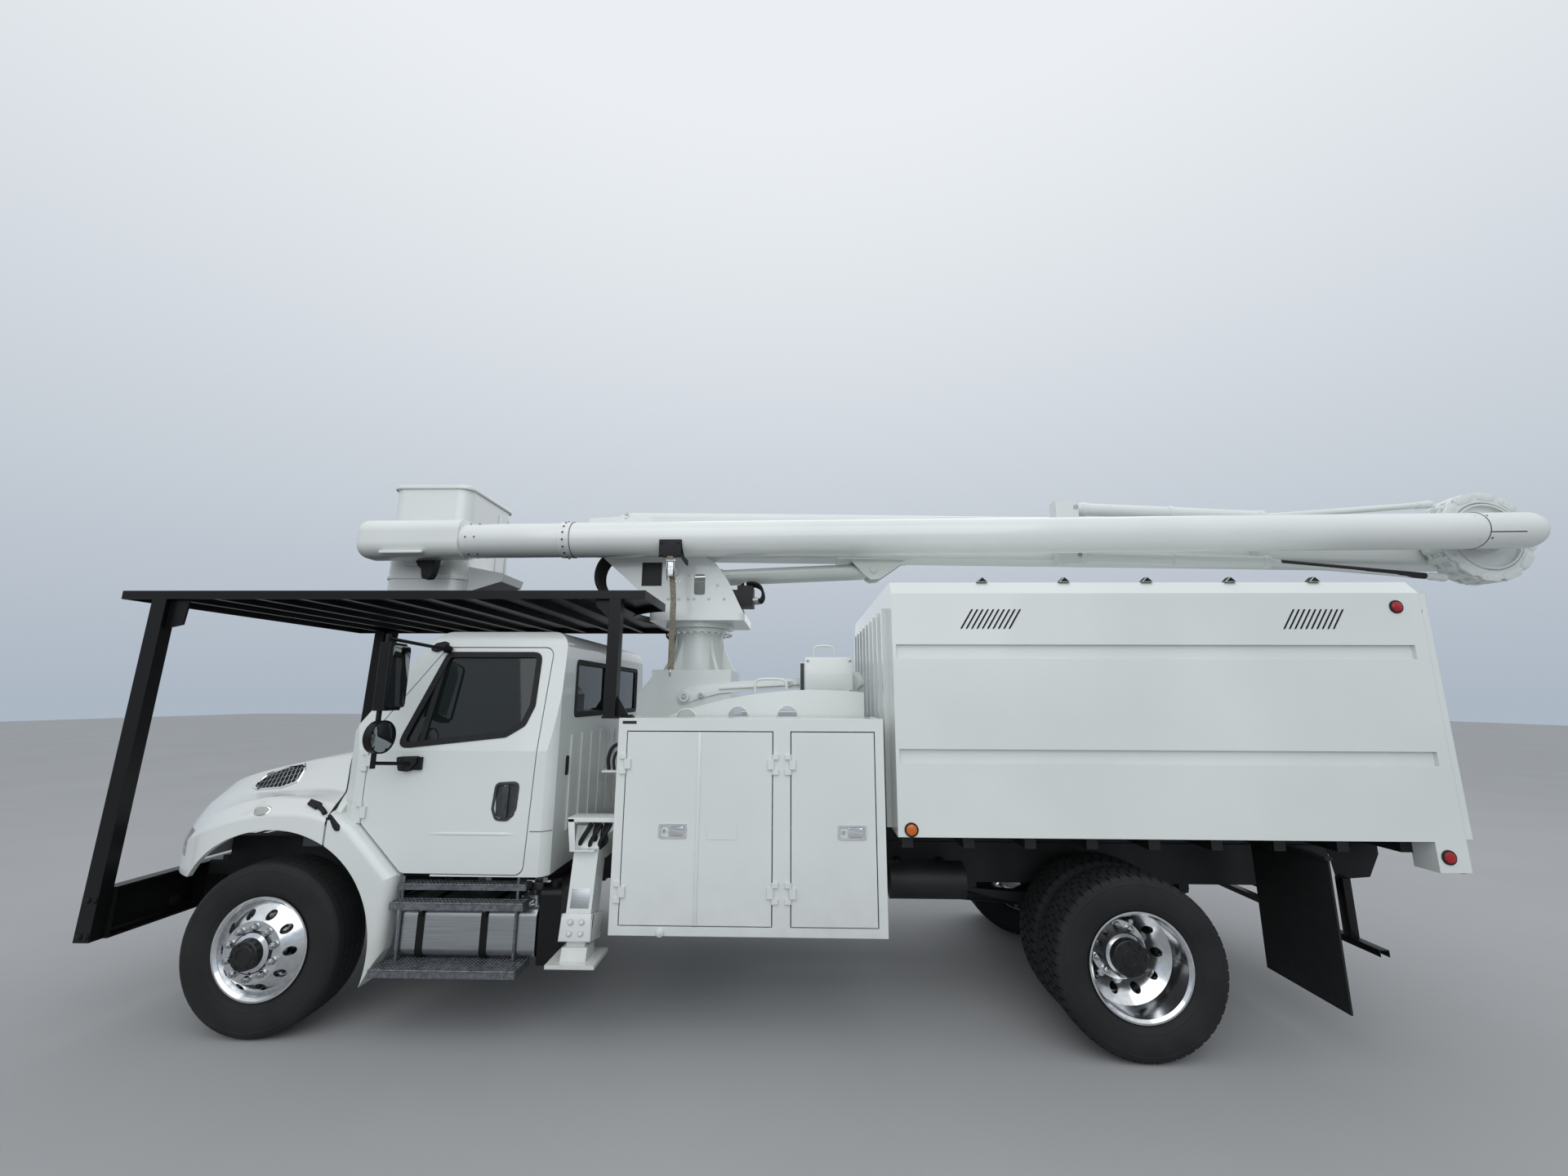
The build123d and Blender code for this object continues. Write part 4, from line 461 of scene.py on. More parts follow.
def tyreRows(lugged):  # rows of (radius, across, cut between lugs, phase)
    rows = [(radius, -across, 0, 0) for radius, across in tyre["sidewall"]]
    drop = tyre["grooveDepth"]
    shoulder, edge, notch = tyre["shoulder"]
    notch = notch if lugged else 0
    rows.append((shoulder, -edge, notch, 0))
    for number, (left, right) in enumerate(tyre["ribs"]):
        phase = (0, 0.45, 0.2, 0.65, 0)[number] if lugged else 0
        cut = (10 if lugged else 0) if number in (0, 4) else (9 if lugged else 4)
        crown = [tyre["outer"] - tyre["crownDrop"] * (across / 110) ** 2 for across in (left, right)]
        if number:
            rows.append((crown[0] - drop, left + 1, 0, phase))
        rows += [(crown[0], left, cut, phase), (crown[1], right, cut, phase)]
        if number < 4:
            rows.append((crown[1] - drop, right - 1, 0, phase))
    rows.append((shoulder, edge, notch, 0))
    return rows + [(radius, across, 0, 0) for radius, across in reversed(tyre["sidewall"])]


def addTyre(shape, station, across, lugged):
    kind = "drive" if lugged else "steer"
    pitches, share, rows = tyre[kind + "Pitches"], tyre[kind + "Share"], tyreRows(lugged)
    rings = []
    for number in range(pitches):
        for offset, low in ((0, 0), (share, 0), (share + 0.02, 1), (0.985, 1)):
            section = []
            for radius, width, cut, phase in rows:
                turn = 2 * math.pi * (number + offset + phase) / pitches
                reach = radius - cut * low
                x, z = station + reach * math.cos(turn), wheelHeight + reach * math.sin(turn)
                section.append(at(x, across + width, z))
            rings.append(section)
    addSkin(shape, rings + rings[:1], closed=False, ends=False)


tyreRubber = makePlastic("carbonBlackTyreRubber", ("#0D0E0F", "#191A1B"), 0.78, 55, 0.0012, edge=0)
for side, hand in hands:
    for axle, station, middles in (("front", 0, (996,)), ("rear", wheelbase, (750, 1080))):
        shape = bmesh.new()
        for middle in middles:
            addTyre(shape, station, side * middle, axle == "rear")
        ending = "tyre" if axle == "front" else "tyres"
        piece = placePiece(shape, f"{axle}_{ending}_{hand}_tread", f"{axle}_wheel_{hand}", [tyreRubber])
        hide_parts(f"{axle}_{ending}_{hand}")
print("tyres made")

# Wheels: ten zinc plated nuts a side, black painted hubs and their bolts
# Hub bolts are (count, circle, distance out, flats), hub rows (radius, distance out)
wheelFittings = {
    "nuts": 10, "nutCircle": 142.9,
    "front": {
        "station": 0, "face": 1161, "bolts": (6, 71, 60, 12),
        "hub": ((119.5, -4), (119.5, 9.5), (91, 11), (89, 22), (87, 24), (84, 56), (79, 60), (60, 61), (57, 65),
                (40, 66), (38, 62), (0, 62)),
    },
    "rear": {
        "station": wheelbase, "face": 937, "bolts": (8, 88, 151, 18),
        "hub": ((127.5, -4), (127.5, 88), (122, 92), (108, 93), (106, 100), (104, 146), (98, 151), (56, 153),
                (52, 158), (30, 159), (27, 155), (0, 155)),
    },
}
hubPaint = makePlastic("blackHubPaint", ("#090A0B", "#17181A"), 0.42, 90, 0.0006)
nutSteel = makeMetal("zincPlatedNuts", ("#A9ABAD", "#CDCFD1"), 0.22, (60, 60, 60), 0.0002)
for side, hand in hands:
    outward = (0, side, 0)
    for axle in ("front", "rear"):
        fitting = wheelFittings[axle]
        station, face = fitting["station"], side * fitting["face"]
        shape = bmesh.new()
        addLathe(shape, fitting["hub"], (station, face, wheelHeight), outward, 56, 1)
        count, circle, out, flats = fitting["bolts"]
        for x, z in boltCircle((station, wheelHeight), circle, count):
            addHexNut(shape, (x, face + side * out, z), outward, flats, 9, 1)
        for x, z in boltCircle((station, wheelHeight), wheelFittings["nutCircle"], wheelFittings["nuts"], 0.5):
            addHexNut(shape, (x, face, z), outward, 33, 27, 0, 23)
            addRod(shape, (x, face, z), (x, face + side * 36, z), 11, 12)
        placePiece(shape, f"{axle}_wheel_nuts_{hand}", f"{axle}_wheel_{hand}",
                   [nutSteel, hubPaint])
print("wheel fittings made")


# Cab doors: rubber window seals, division bar, black pull handles and their recess
doorTrim = {
    "belt": 1690, "lean": 0.14166, "windowRadius": 50,
    "window": ((700, 1712), (925, 2325), (1560, 2325), (1558, 1980), (1512, 1858), (1400, 1788)),
    "divider": ((893, 2312), (927, 2312), (862, 1748), (826, 1738)),
    "handle": ((1385, 1262), (1358, 1330), (1372, 1492), (1526, 1500), (1516, 1330), (1470, 1258)),
    "pull": ((1420, 1272), (1415, 1470), (1462, 1476), (1458, 1268)),
}


def doorSkin(side, lift=0.0):
    # Door's outer face: upright to the belt line, then leaning in
    return lambda x, z, height: at(
        x, side * (doorHalf - max(0, z - doorTrim["belt"]) * doorTrim["lean"] + lift + height), z)


for side, hand in hands:
    skin = doorSkin(side)
    shape = bmesh.new()
    addBand(shape, doorTrim["window"], doorTrim["windowRadius"], -24, 14, skin)
    # Division bar between the quarter light and the drop glass
    glassSide = doorSkin(side, -13)
    addSkin(shape, [[glassSide(x, z, height) for x, z in doorTrim["divider"]] for height in (0, 11)])
    # Handle: a black bezel, its hollow and the pull
    addBand(shape, doorTrim["handle"], 40, -14, 2, skin, 1)
    hollow = roundOutline(growOutline(doorTrim["handle"], -10), 34)
    addFace(shape, [skin(x, z, -7) for x, z in hollow], 1)
    addPrism(shape, [skin(x, z, -8) for x, z in roundOutline(doorTrim["pull"], 16)],
             Vector((0, side * 0.017, 0)), 1, 3)
    placePiece(shape, f"door_trim_{hand}", f"door_{hand}", [blackRubber, greyPlastic])
print("door trim made")

# Mirrors: panes facing back in rubber frames, round spot mirrors, clamps and the boots on the arms
mirrorTrim = {"pane": ((1218, 1392), (1968, 2352)), "spot": (752, 1314, 1790), "clamps": (2010, 2310)}
mirrorSilver = startMaterial("mirrorSilvering", 0.02, 1.0)
mirrorSilver[2].inputs["Base Color"].default_value = linearColour("#8D9396")
for side, hand in hands:
    shape = bmesh.new()
    pane = rectangle(*mirrorTrim["pane"])
    addPrism(shape, [at(798, side * y, z) for y, z in roundOutline(pane, 26)], Vector((0.004, 0, 0)), 1, 1)
    # The frame follows the head's back face, which leans to the rear as it goes outward
    addBand(shape, pane, 26, -1, 9, lambda y, z, lift: at(773 + (y - 1205) * 0.154 + lift, side * y, z))
    x, y, z = mirrorTrim["spot"]
    for profile, finish in ((((101, -10), (101, 3), (94, 5), (92, 2)), 0), (((92, 1), (70, 7), (40, 12), (0, 14)), 1)):
        addLathe(shape, profile, (x, side * y, z), (1, side * 0.12, 0), 40, finish)
    for z in mirrorTrim["clamps"]:  # on the upright tube
        addBlock(shape, (684, 722), span(side, 1284, 1316), (z, z + 34), 0, 4)
    addTube(shape, ((700, side * 1300, 1650), (694, side * 1292, 1700), (706, side * 1310, 1745)), 9)
    addRod(shape, (935, side * 1002, 2350), (915, side * 1030, 2358), 24, 18, 0, 30)
    placePiece(shape, f"mirror_trim_{hand}", f"door_{hand}", [blackEnamel, mirrorSilver[0]])
print("mirrors made")

# Head guard: bolted feet, weld beads and the lip round its edge
guard = {"half": 1120, "front": -1325, "rear": 2291, "ribs": 11, "lip": 2690}
shape = bmesh.new()
front, rear, lip = guard["front"], guard["rear"], guard["lip"]
for side in (-1, 1):
    for station, low in ((-1118, 560), (-1108, 770)):  # bolts through the front post into the bumper
        for step in (-22, 22):
            addHexNut(shape, (station + step, side * guard["half"], low), (0, side, 0), 22, 10, 0, 17)
    for station in (-1078, -1034, 2068, 2110):
        addHexNut(shape, (station, side * 1082, 2660), (0, -side, 0), 19, 9, 0, 15)
    for across in (1058, 1104):  # feet on the lockers' roofs
        for station in (2160, 2220):
            addHexNut(shape, (station, side * across, 1914), (0, 0, 1), 19, 11, 0, 15)
    for station in spread(front, rear, guard["ribs"] + 2)[1:-1]:  # welds where each rib meets the edge
        for step in (-20, 20):
            addTube(shape, [(station + step, side * y, z) for y, z in ((1106, 2698), (1107, 2720), (1106, 2735))],
                    4, 6, 0, 2)
    addRod(shape, (front + 8, side * 1117, lip), (rear - 8, side * 1117, lip), 4, 8)
addRod(shape, (front + 4, -1112, lip), (front + 4, 1112, lip), 4, 8)
placePiece(shape, "guard_bolts_and_welds", "chassis", [blackEnamel])

# Bumper: its bolts
shape = bmesh.new()
for z in (600, 757):
    for side in (-1, 1):
        for y in (380, 980):
            addHexNut(shape, (-1150, side * y, z), (-1, 0, 0), 24, 8, 0, 20)
placePiece(shape, "bumper_bolts", "chassis", [blackEnamel])
print("guard made")

# Surface finders: a ray meets a painted piece, so that trim follows its curves
def skinTree(name):
    piece = nodes[name]
    return BVHTree.FromPolygons([piece.matrix_world @ vert.co for vert in piece.data.vertices],
                                [face.vertices[:] for face in piece.data.polygons])


def meetSide(tree, x, z, side, default):  # distance across, seen from the truck's own side
    spot = tree.ray_cast(at(x, side * 1700, z), Vector((0, -side, 0)))[0]
    return abs(spot.y) * 1000 if spot else default


def meetTop(tree, x, y, high, default):
    spot = tree.ray_cast(at(x, y, high), Vector((0, 0, -1)))[0]
    return spot.z * 1000 if spot else default


def crossings(outline, origin, direction):  # pairs of distances where a line enters and leaves an outline
    hits = []
    for i, (bx, by) in enumerate(outline):
        ax, ay = outline[i - 1]
        det = direction[0] * (ay - by) - direction[1] * (ax - bx)
        if abs(det) < 1e-9:
            continue
        t = ((ax - origin[0]) * (ay - by) - (ay - origin[1]) * (ax - bx)) / det
        s = (direction[0] * (ay - origin[1]) - direction[1] * (ax - origin[0])) / det
        if 0 <= s < 1:
            hits.append(t)
    hits.sort()
    return list(zip(hits[::2], hits[1::2]))


# Hood intakes: chromed rim, woven wire net over a dark duct
intake = {
    "outline": ((-462, 1423), (-410, 1490), (-262, 1548), (-134, 1566), (-104, 1530), (-104, 1462), (-206, 1424),
                (-391, 1408)),
    "radius": 20, "rim": ((11, -2), (9, 4), (2, 7), (-5, 4), (-6, -16)),
    "middle": (-270, 1480), "mesh": 32, "lean": math.radians(13), "wire": 2.4,
}
ductBlack = makePlastic("blackDuctPlastic", ("#060606", "#0C0C0D"), 0.8, 200, 0.0003)
hoodTree, grilleTree, cabTree = (skinTree(name) for name in ("hood", "grille", "cab_shell"))


def intakeRing(grow):
    return roundOutline(growOutline(intake["outline"], grow), intake["radius"])


inner = intakeRing(-3)
netEnds = min(x for x, z in inner) + 1, max(x for x, z in inner) - 1
along = (math.cos(intake["lean"]), math.sin(intake["lean"]))
across = (-along[1], along[0])
for side, hand in hands:
    shape = bmesh.new()
    around = [meetSide(hoodTree, x, z, side, 1000) for x, z in intakeRing(7)]
    addSkin(shape, [drape(intakeRing(grow), around, side, lift) for grow, lift in intake["rim"]], ends=False)
    depth = lambda x, z: meetSide(grilleTree, x, z, side, 0) or meetSide(hoodTree, x, z, side, 1000)
    sheet = []
    for x in spread(*netEnds, 25):  # dark duct behind the net
        low, high = crossings(inner, (x, 0), (0, 1))[0]
        sheet.append([at(x, side * (depth(x, z) + 2), z) for z in spread(low, high, 6)])
    addSkin(shape, sheet, 1, closed=False, ends=False)
    for run, step, count in ((along, across, 6), (across, along, 12)):
        for number in range(-count, count + 1):
            origin = [middle + part * number * intake["mesh"] for middle, part in zip(intake["middle"], step)]
            for start, end in crossings(inner, origin, run):
                wire = []
                for t in spread(start, end, 7):
                    x, z = origin[0] + run[0] * t, origin[1] + run[1] * t
                    wire.append((x, side * (depth(x, z) + 5), z))
                addTube(shape, wire, intake["wire"], 5, 2, 0)
    placePiece(shape, f"intake_net_{hand}", "hood", [chromePlate, ductBlack, brushedAluminium])
print("intakes made")

# Rubber seal in the gap between hood and cowl, plastic cowl panel, wipers and window seals
cowlTrim = {
    "sealHalf": ((0, 1690), (260, 1687), (520, 1675), (720, 1660), (815, 1648), (862, 1612), (905, 1530), (948, 1442),
                 (975, 1406), (1024, 1374), (1066, 1350), (1106, 1318), (1140, 1272), (1147, 1246)),
    "sealStation": 341, "sealBend": 1330, "panel": (228, 364), "panelHalf": 800, "slots": (262, 322), "slotPitch": 36,
}
shape = bmesh.new()
seal = [(-y, z) for y, z in reversed(cowlTrim["sealHalf"][1:])] + list(cowlTrim["sealHalf"])
addTube(shape, [(cowlTrim["sealStation"] - max(0, z - cowlTrim["sealBend"]) / 3, y, z - 5) for y, z in seal],
        8, 10, 0, 2)
rows = []
for column, x in enumerate(spread(*cowlTrim["panel"], 7)):
    row = []
    for step, y in enumerate(spread(-cowlTrim["panelHalf"], cowlTrim["panelHalf"], 33)):
        lift = 2 if 0 < column < 6 and 0 < step < 32 else -1
        row.append(at(x, y, meetTop(cabTree, x, y, 1800, 1690) + lift))
    rows.append(row)
addSkin(shape, rows, 1, closed=False, ends=False)
for y in range(-720, 721, cowlTrim["slotPitch"]):  # air slots
    height = meetTop(cabTree, sum(cowlTrim["slots"]) / 2, y, 1800, 1700)
    addBlock(shape, cowlTrim["slots"], (y - 4, y + 4), (height - 12, height + 6), 2)
placePiece(shape, "cowl_panel", "chassis", [blackRubber, greyPlastic, blackRubber])

screen = {
    "outline": ((-880, 1850), (-820, 2400), (820, 2400), (880, 1850)), "radius": 50, "foot": (372, 1800),
    "run": 478 / 683,  # station gained by a millimetre of height
}
screenTilt = math.atan(screen["run"])


def onScreen(y, z, lift):  # the windscreen's plane leans back with height
    x, low = screen["foot"]
    x += (z - low) * screen["run"] - lift * math.cos(screenTilt)
    return at(x, y, z + lift * math.sin(screenTilt))


shape = bmesh.new()
addBand(shape, screen["outline"], screen["radius"], -26, 15, onScreen)
for side in (-1, 1):
    backWall = lambda y, z, lift: at(1740 + lift, side * y, z)
    addBand(shape, rectangle((130, 790), (1905, 2290)), 40, -24, 12, backWall)
    oval = roundOutline(rectangle((852, 890), (1516, 1642)), 18)
    rows = [[backWall(y, z, lift) for y, z in growOutline(oval, grow)]
            for lift, grow in ((-2, 2), (8, 1), (8, -5), (2, -7))]
    addSkin(shape, rows, ends=False)
    addFace(shape, rows[-1])
    for number in range(6):
        low = 1528 + number * 18
        addBlock(shape, (1742, 1747), span(side, 856, 886), (low, low + 6), 1)
# Wipers: painted arms and rubber blades lying low on the glass
for pivot, knee, start, end in (((-60, 1818), (-470, 1904), (-180, 1868), (-800, 1922)),
                                ((640, 1818), (250, 1904), (520, 1868), (-90, 1922))):
    hub, far = onScreen(*pivot, 2), onScreen(*pivot, 46)
    addLathe(shape, ((24, 0), (24, 18), (16, 24), (14, 44), (0, 46)), placeOf(hub), far - hub, 20, 1)
    arm = [onScreen(*pivot, 36), onScreen(*between(pivot, knee, 0.5), 46), onScreen(*knee, 24)]
    addTube(shape, [placeOf(point) for point in arm], 8, 8, 1, 5)
    for lift, radius in ((20, 6), (10, 4)):
        blade = [placeOf(onScreen(*between(start, end, share), lift)) for share in spread(0, 1, 5)]
        addTube(shape, blade, radius, 8, 0, 2)
placePiece(shape, "window_seals_and_wipers", "chassis", [blackRubber, darkSteel])
print("cowl and windows trimmed")

# Headlamps: reflector tray and chromed bowls behind the clear lens
lampTrim = {
    "tray": ((632, 1000), (1016, 1158)), "depth": 46, "hollow": 18,
    "bowls": ((700, 1090, 58), (838, 1088, 50)), "turnLamp": (945, 1100),
}
lensTree = skinTree("headlamps")


def meetFront(tree, y, z, default):
    spot = tree.ray_cast(at(-1400, y, z), Vector((1, 0, 0)))[0]
    return (spot.x - axleStation) * 1000 if spot else default


for side, hand in hands:
    shape = bmesh.new()
    rows, last = [], -900
    for y in spread(*lampTrim["tray"][0], 17):
        row = []
        for step, z in enumerate(spread(*lampTrim["tray"][1], 7)):
            last = meetFront(lensTree, side * y, z, last)
            sunk = lampTrim["depth"] + lampTrim["hollow"] * math.sin(math.pi * step / 6)
            row.append(at(last + sunk, side * y, z))
        rows.append(row)
    addSkin(shape, rows, 1, closed=False, ends=False)
    for y, z, radius in lampTrim["bowls"]:
        centre = (meetFront(lensTree, side * y, z, -900) + lampTrim["depth"] + 4, side * y, z)
        addLathe(shape, ((radius, 10), (radius, 0), (radius * 0.95, -2), (radius * 0.9, 2), (radius * 0.7, 28),
                         (radius * 0.4, 44), (10, 50), (10, 22), (6, 16), (0, 15)), centre, (1, -side * 0.3, 0), 32)
    y, z = lampTrim["turnLamp"]
    lens = meetFront(lensTree, side * y, z, -800)
    addRod(shape, (lens + 50, side * (y - 10), z), (lens + 90, side * (y - 30), z), 32, 24, 2, 14)
    placePiece(shape, f"headlamp_bowls_{hand}", "hood", [chromePlate, greyPlastic, orangeLens])
print("headlamps made")

# Door crease, mirror foot pads, the panel in the left arch and the joint in the cab's rear corner
sideTrim = {
    "crease": (960, 1530), "creaseHeight": 1180, "joint": (1612, 1738), "jointHeight": 1196,
    "pad": ((786, 2352), (822, 2398), (880, 2412), (918, 2398), (900, 2360), (838, 2336)),
    "foot": ((722, 1652), (858, 1656), (852, 1612), (806, 1560), (742, 1566)),
    "footBolts": ((756, 1636), (838, 1640), (764, 1582)),
}
for side, hand in hands:
    tree = skinTree(f"door_{hand}")
    shape = bmesh.new()
    rows = []
    for step, x in enumerate(spread(*sideTrim["crease"], 25)):
        rise = 5 * min(1, step / 4, (24 - step) / 4)
        rows.append([at(x, side * (doorHalf + lift), sideTrim["creaseHeight"] + up) for lift, up in
                     ((-1, -16), (rise * 0.3, -10), (rise, -3), (rise, 1), (-1, 12))])
    addSkin(shape, rows, closed=False, ends=False)
    placePiece(shape, f"door_crease_{hand}", f"door_{hand}", [whiteEnamel])
    shape = bmesh.new()
    pad = roundOutline(sideTrim["pad"], 22)
    around = [meetSide(cabTree, x, z, side, 0) or meetSide(tree, x, z, side, 1000) for x, z in pad]
    addSkin(shape, [drape(growOutline(pad, -12) if lift == 18 else pad, around, side, lift) for lift in (-4, 10, 18)])
    foot = roundOutline(sideTrim["foot"], 14)
    addPrism(shape, [at(x, side * (doorHalf - 1), z) for x, z in foot], Vector((0, side * 0.038, 0)), 0, 5)
    for x, z in sideTrim["footBolts"]:
        addHexNut(shape, (x, side * 1121, z), (0, side, 0), 14, 7, 1)
    placePiece(shape, f"mirror_feet_{hand}", f"door_{hand}", [blackRubber, darkSteel])
shape = bmesh.new()
height = sideTrim["jointHeight"]
for side in (-1, 1):
    line = [(x, side * (meetSide(cabTree, x, height, side, 1060) + 0.6), height)
            for x in spread(*sideTrim["joint"], 13)]
    addTube(shape, line, 2.2, 6, 0, 0)
addBlock(shape, (131, 301), (-1056, -1040), (1085, 1182), 1, 6)
placePiece(shape, "cab_joints", "chassis", [blackRubber, greyPlastic])
print("cab sides trimmed")

# Hood: rubber hold-down latches with their catches on the cab, and oval marker lamps
hoodTrim = {
    "latch": ((166, 1352), (180, 1384), (244, 1364), (264, 1338), (240, 1324)),
    "pull": ((240, 1344), (262, 1332), (290, 1316), (314, 1298)),
    "catch": ((330, 1290), (352, 1300), (430, 1236), (438, 1206), (412, 1204), (340, 1258)),
    "marker": (-100, 1318), "markerSize": (50, 25),
    # Share of the size and height above the skin; the first four are the chromed rim
    "markerRows": ((1.12, -6), (1.12, 3), (1.0, 6), (0.94, 6), (0.9, 10), (0.6, 14), (0.2, 15)),
}


def levelled(around, drop):  # keeps a small part off the places where the skin falls away
    return [max(y, max(around) - drop) for y in around]


markerLens = makeClear("smokedMarkerLens", "#C9CDC6", 0.12, 0.35, 1.5)
x, z = hoodTrim["marker"]
wide, tall = hoodTrim["markerSize"]
oval = [(wide * a, tall * b) for a, b in boltCircle((0, 0), 1, 32)]
for side, hand in hands:
    shape = bmesh.new()
    around = levelled([meetSide(hoodTree, x + a, z + b, side, 1120) for a, b in oval], 24)
    middle = sum(around) / len(around)
    rings = [[at(x + a * size, side * (middle + (y - middle) * size + lift), z + b * size)
              for (a, b), y in zip(oval, around)] for size, lift in hoodTrim["markerRows"]]
    addSkin(shape, rings[:4], ends=False)
    addSkin(shape, rings[3:], 1, ends=False)
    addFace(shape, rings[-1], 1)
    placePiece(shape, f"fender_marker_{hand}", "hood", [chromePlate, markerLens])
    for piece, tree, body in (("latch", hoodTree, "hood"), ("catch", cabTree, "chassis")):
        shape = bmesh.new()
        outline = roundOutline(hoodTrim[piece], 12)
        around = levelled([meetSide(tree, a, b, side, 1100) for a, b in outline], 30)
        addSkin(shape, [drape(outline, around, side, -5, -5), drape(outline, around, side, 12, 4),
                        drape(growOutline(outline, -7), around, side, 18, 7)])
        if piece == "latch":
            pull = [(a, side * (meetSide(hoodTree, a, b, side, 1110) + 12), b + 6) for a, b in hoodTrim["pull"]]
            addTube(shape, pull, 14, 12, 0, 4)
        else:
            addRod(shape, (352, side * 1120, 1278), (352, side * 1160, 1278), 9)
        placePiece(shape, f"hood_{piece}_{hand}", body, [blackRubber])
print("hood trim made")

# Fuel tank: two black bands on rubber with their clamps, and the filler cap with its grips
tankTrim = {
    "widths": (-1065, -500), "heights": (445, 740), "corner": 55, "bands": (965, 1366), "bandWidth": 44,
    "cap": (1600, -950, 738), "grips": 6, "gripCircle": 44, "gripAcross": -975, "gripHeight": 776,
    "capRows": ((58, 0), (58, 22), (53, 26), (50, 30), (50, 44), (44, 50), (20, 52), (0, 52)),
}
section = rectangle(tankTrim["widths"], tankTrim["heights"])
bandInner = roundOutline(section, tankTrim["corner"], 8)
bandOuter = roundOutline(growOutline(section, 4), tankTrim["corner"] + 4, 8)
shape = bmesh.new()
for station in tankTrim["bands"]:
    half = tankTrim["bandWidth"] / 2
    rows = [[at(station + x, y, z) for y, z in outline] for x, outline in
            ((-half, bandInner), (-half, bandOuter), (half, bandOuter), (half, bandInner))]
    addSkin(shape, rows + rows[:1], ends=False)
    addBlock(shape, (station - 14, station + 14), (-1082, -1064), (690, 724), 0, 4)
    addRod(shape, (station, -1076, 700), (station, -1076, 760), 6, 10, 1)
    addHexNut(shape, (station, -1076, 752), (0, 0, 1), 17, 12, 1, 12)
addLathe(shape, tankTrim["capRows"], tankTrim["cap"], (0, -0.5, 0.86), 40, 1)
for x, rise in boltCircle((tankTrim["cap"][0], 0), tankTrim["gripCircle"], tankTrim["grips"]):
    y, z = tankTrim["gripAcross"] + rise * 0.86, tankTrim["gripHeight"] + rise / 2
    addBlock(shape, (x - 7, x + 7), (y - 6, y + 6), (z, z + 14), 1, 2)
placePiece(shape, "fuel_tank_bands", "chassis", [blackEnamel, brushedAluminium])

# Steps: serrated treads between rolled edges, as (stations, widths, height)
stepTrim = {
    "treads": (((752, 1640), (1000, 1200), 436), ((812, 1640), (1075, 1160), 795), ((812, 1620), (1000, 1085), 880)),
    "rowPitch": 22, "toothPitch": 24, "tooth": 15,
}
shape = bmesh.new()
for side in (-1, 1):
    for (front, rear), (near, far), height in stepTrim["treads"]:
        for across in spread(near + 12, far - 12, max(2, int((far - near) / stepTrim["rowPitch"]))):
            for tooth in range(int((rear - front) / stepTrim["toothPitch"])):
                start = front + 8 + tooth * stepTrim["toothPitch"]
                addBlock(shape, (start, start + stepTrim["tooth"]), span(side, across - 3, across + 3),
                         (height - 1, height + 4))
        for edge in (near + 2, far - 2):
            addRod(shape, (front + 3, side * edge, height - 3), (rear - 3, side * edge, height - 3), 5, 10)
placePiece(shape, "step_treads", "chassis", [treadAluminium])
print("steps and tank made")


def bodyFace(side):  # outer face of the lockers and the chip box
    return lambda x, z, lift: at(x, side * (bodyHalf + lift), z)


# Lockers: paddle latches, each set in from its door's rear edge; the left pair's passive leaf has none
latch = {"size": (84, 40), "inset": 150, "height": 1236}
latchDoors = ((-1, "left_front", 2702), (-1, "left_rear", 3794), (1, "right_front", 2990), (1, "right_rear", 3794))
(wide, tall), height = latch["size"], latch["height"]
for side, name, rear in latchDoors:
    station, face = rear - latch["inset"], bodyFace(side)
    shape = bmesh.new()
    bezel = rectangle((station - wide, station + wide), (height - tall, height + tall))
    addBand(shape, bezel, 18, -10, 3, face)
    # Dark steel lines the latch's hollow: painted shade for the recess behind the paddle
    addFace(shape, [face(x, z, -9) for x, z in roundOutline(growOutline(bezel, -9), 12)], 1)
    paddle = roundOutline(rectangle((station - 26, station + 68), (height - 27, height + 27)), 12)
    addPrism(shape, [face(x, z, -10) for x, z in paddle], Vector((0, side * 0.012, 0)), 0, 3)
    addRod(shape, (station - 52, side * 1209, height), (station - 52, side * 1222, height), 13, 20)
    addBlock(shape, (station - 54, station - 50), span(side, 1221, 1224), (height - 8, height + 8), 1)
    placePiece(shape, f"latch_{name}", f"locker_door_{name}", [chromePlate, darkSteel])
print("lockers fitted")

# Chip box: vent slots, black roof peaks, side and rear lamps. The black face in each slot is painted shade for its
# opening, and the black peaks are painted shade of the roof's ribs
box = {
    "vents": ((4343, 2475), (6372, 2475)), "slots": 10, "slotPitch": 34, "slotWidth": 13, "slotLean": 78,
    "slotRise": 127, "peaks": (4530, 5066, 5602, 6138, 6674),
    # Place, radius and finish
    "sideLamps": (((7106, bodyHalf, 2617), 33, 2), ((7141, bodyHalf, 1127), 33, 2), ((4002, bodyHalf, 1255), 33, 3)),
    "rearLamps": (((7262, 1150, 1080), 50, 2), ((7262, 1150, 1160), 50, 2), ((7262, 1179, 2590), 28, 2)),
}
shape = bmesh.new()
for side in (-1, 1):
    face = bodyFace(side)
    for start, low in box["vents"]:
        high = low + box["slotRise"]
        for number in range(box["slots"]):
            x = start + 12 + number * box["slotPitch"]
            top, wide = x + box["slotLean"], box["slotWidth"]
            slot = [(x, low), (x + wide, low), (top + wide, high), (top, high)]
            outer, inner = roundOutline(growOutline(slot, 2.5), 9, 3), roundOutline(slot, 7, 3)
            rows = [[face(a, b, lift) for a, b in outline] for outline, lift in
                    ((outer, -1), (outer, 1.2), (inner, 1.2), (inner, 0.6))]
            addSkin(shape, rows, ends=False)
            # Black face inside the slot: painted shade for the opening
            addFace(shape, rows[-1], 1)
    # Black peaks: painted shade of the roof's cross ribs, not a black part
    for x in box["peaks"]:
        addPrism(shape, [at(x + a, side * 1122, z) for a, z in ((-38, 2789), (38, 2789), (0, 2826))],
                 Vector((0, side * 0.05, 0)), 1, 3)
placePiece(shape, "box_vents_and_peaks", "chassis", [whiteEnamel, blackEnamel])
shape = bmesh.new()
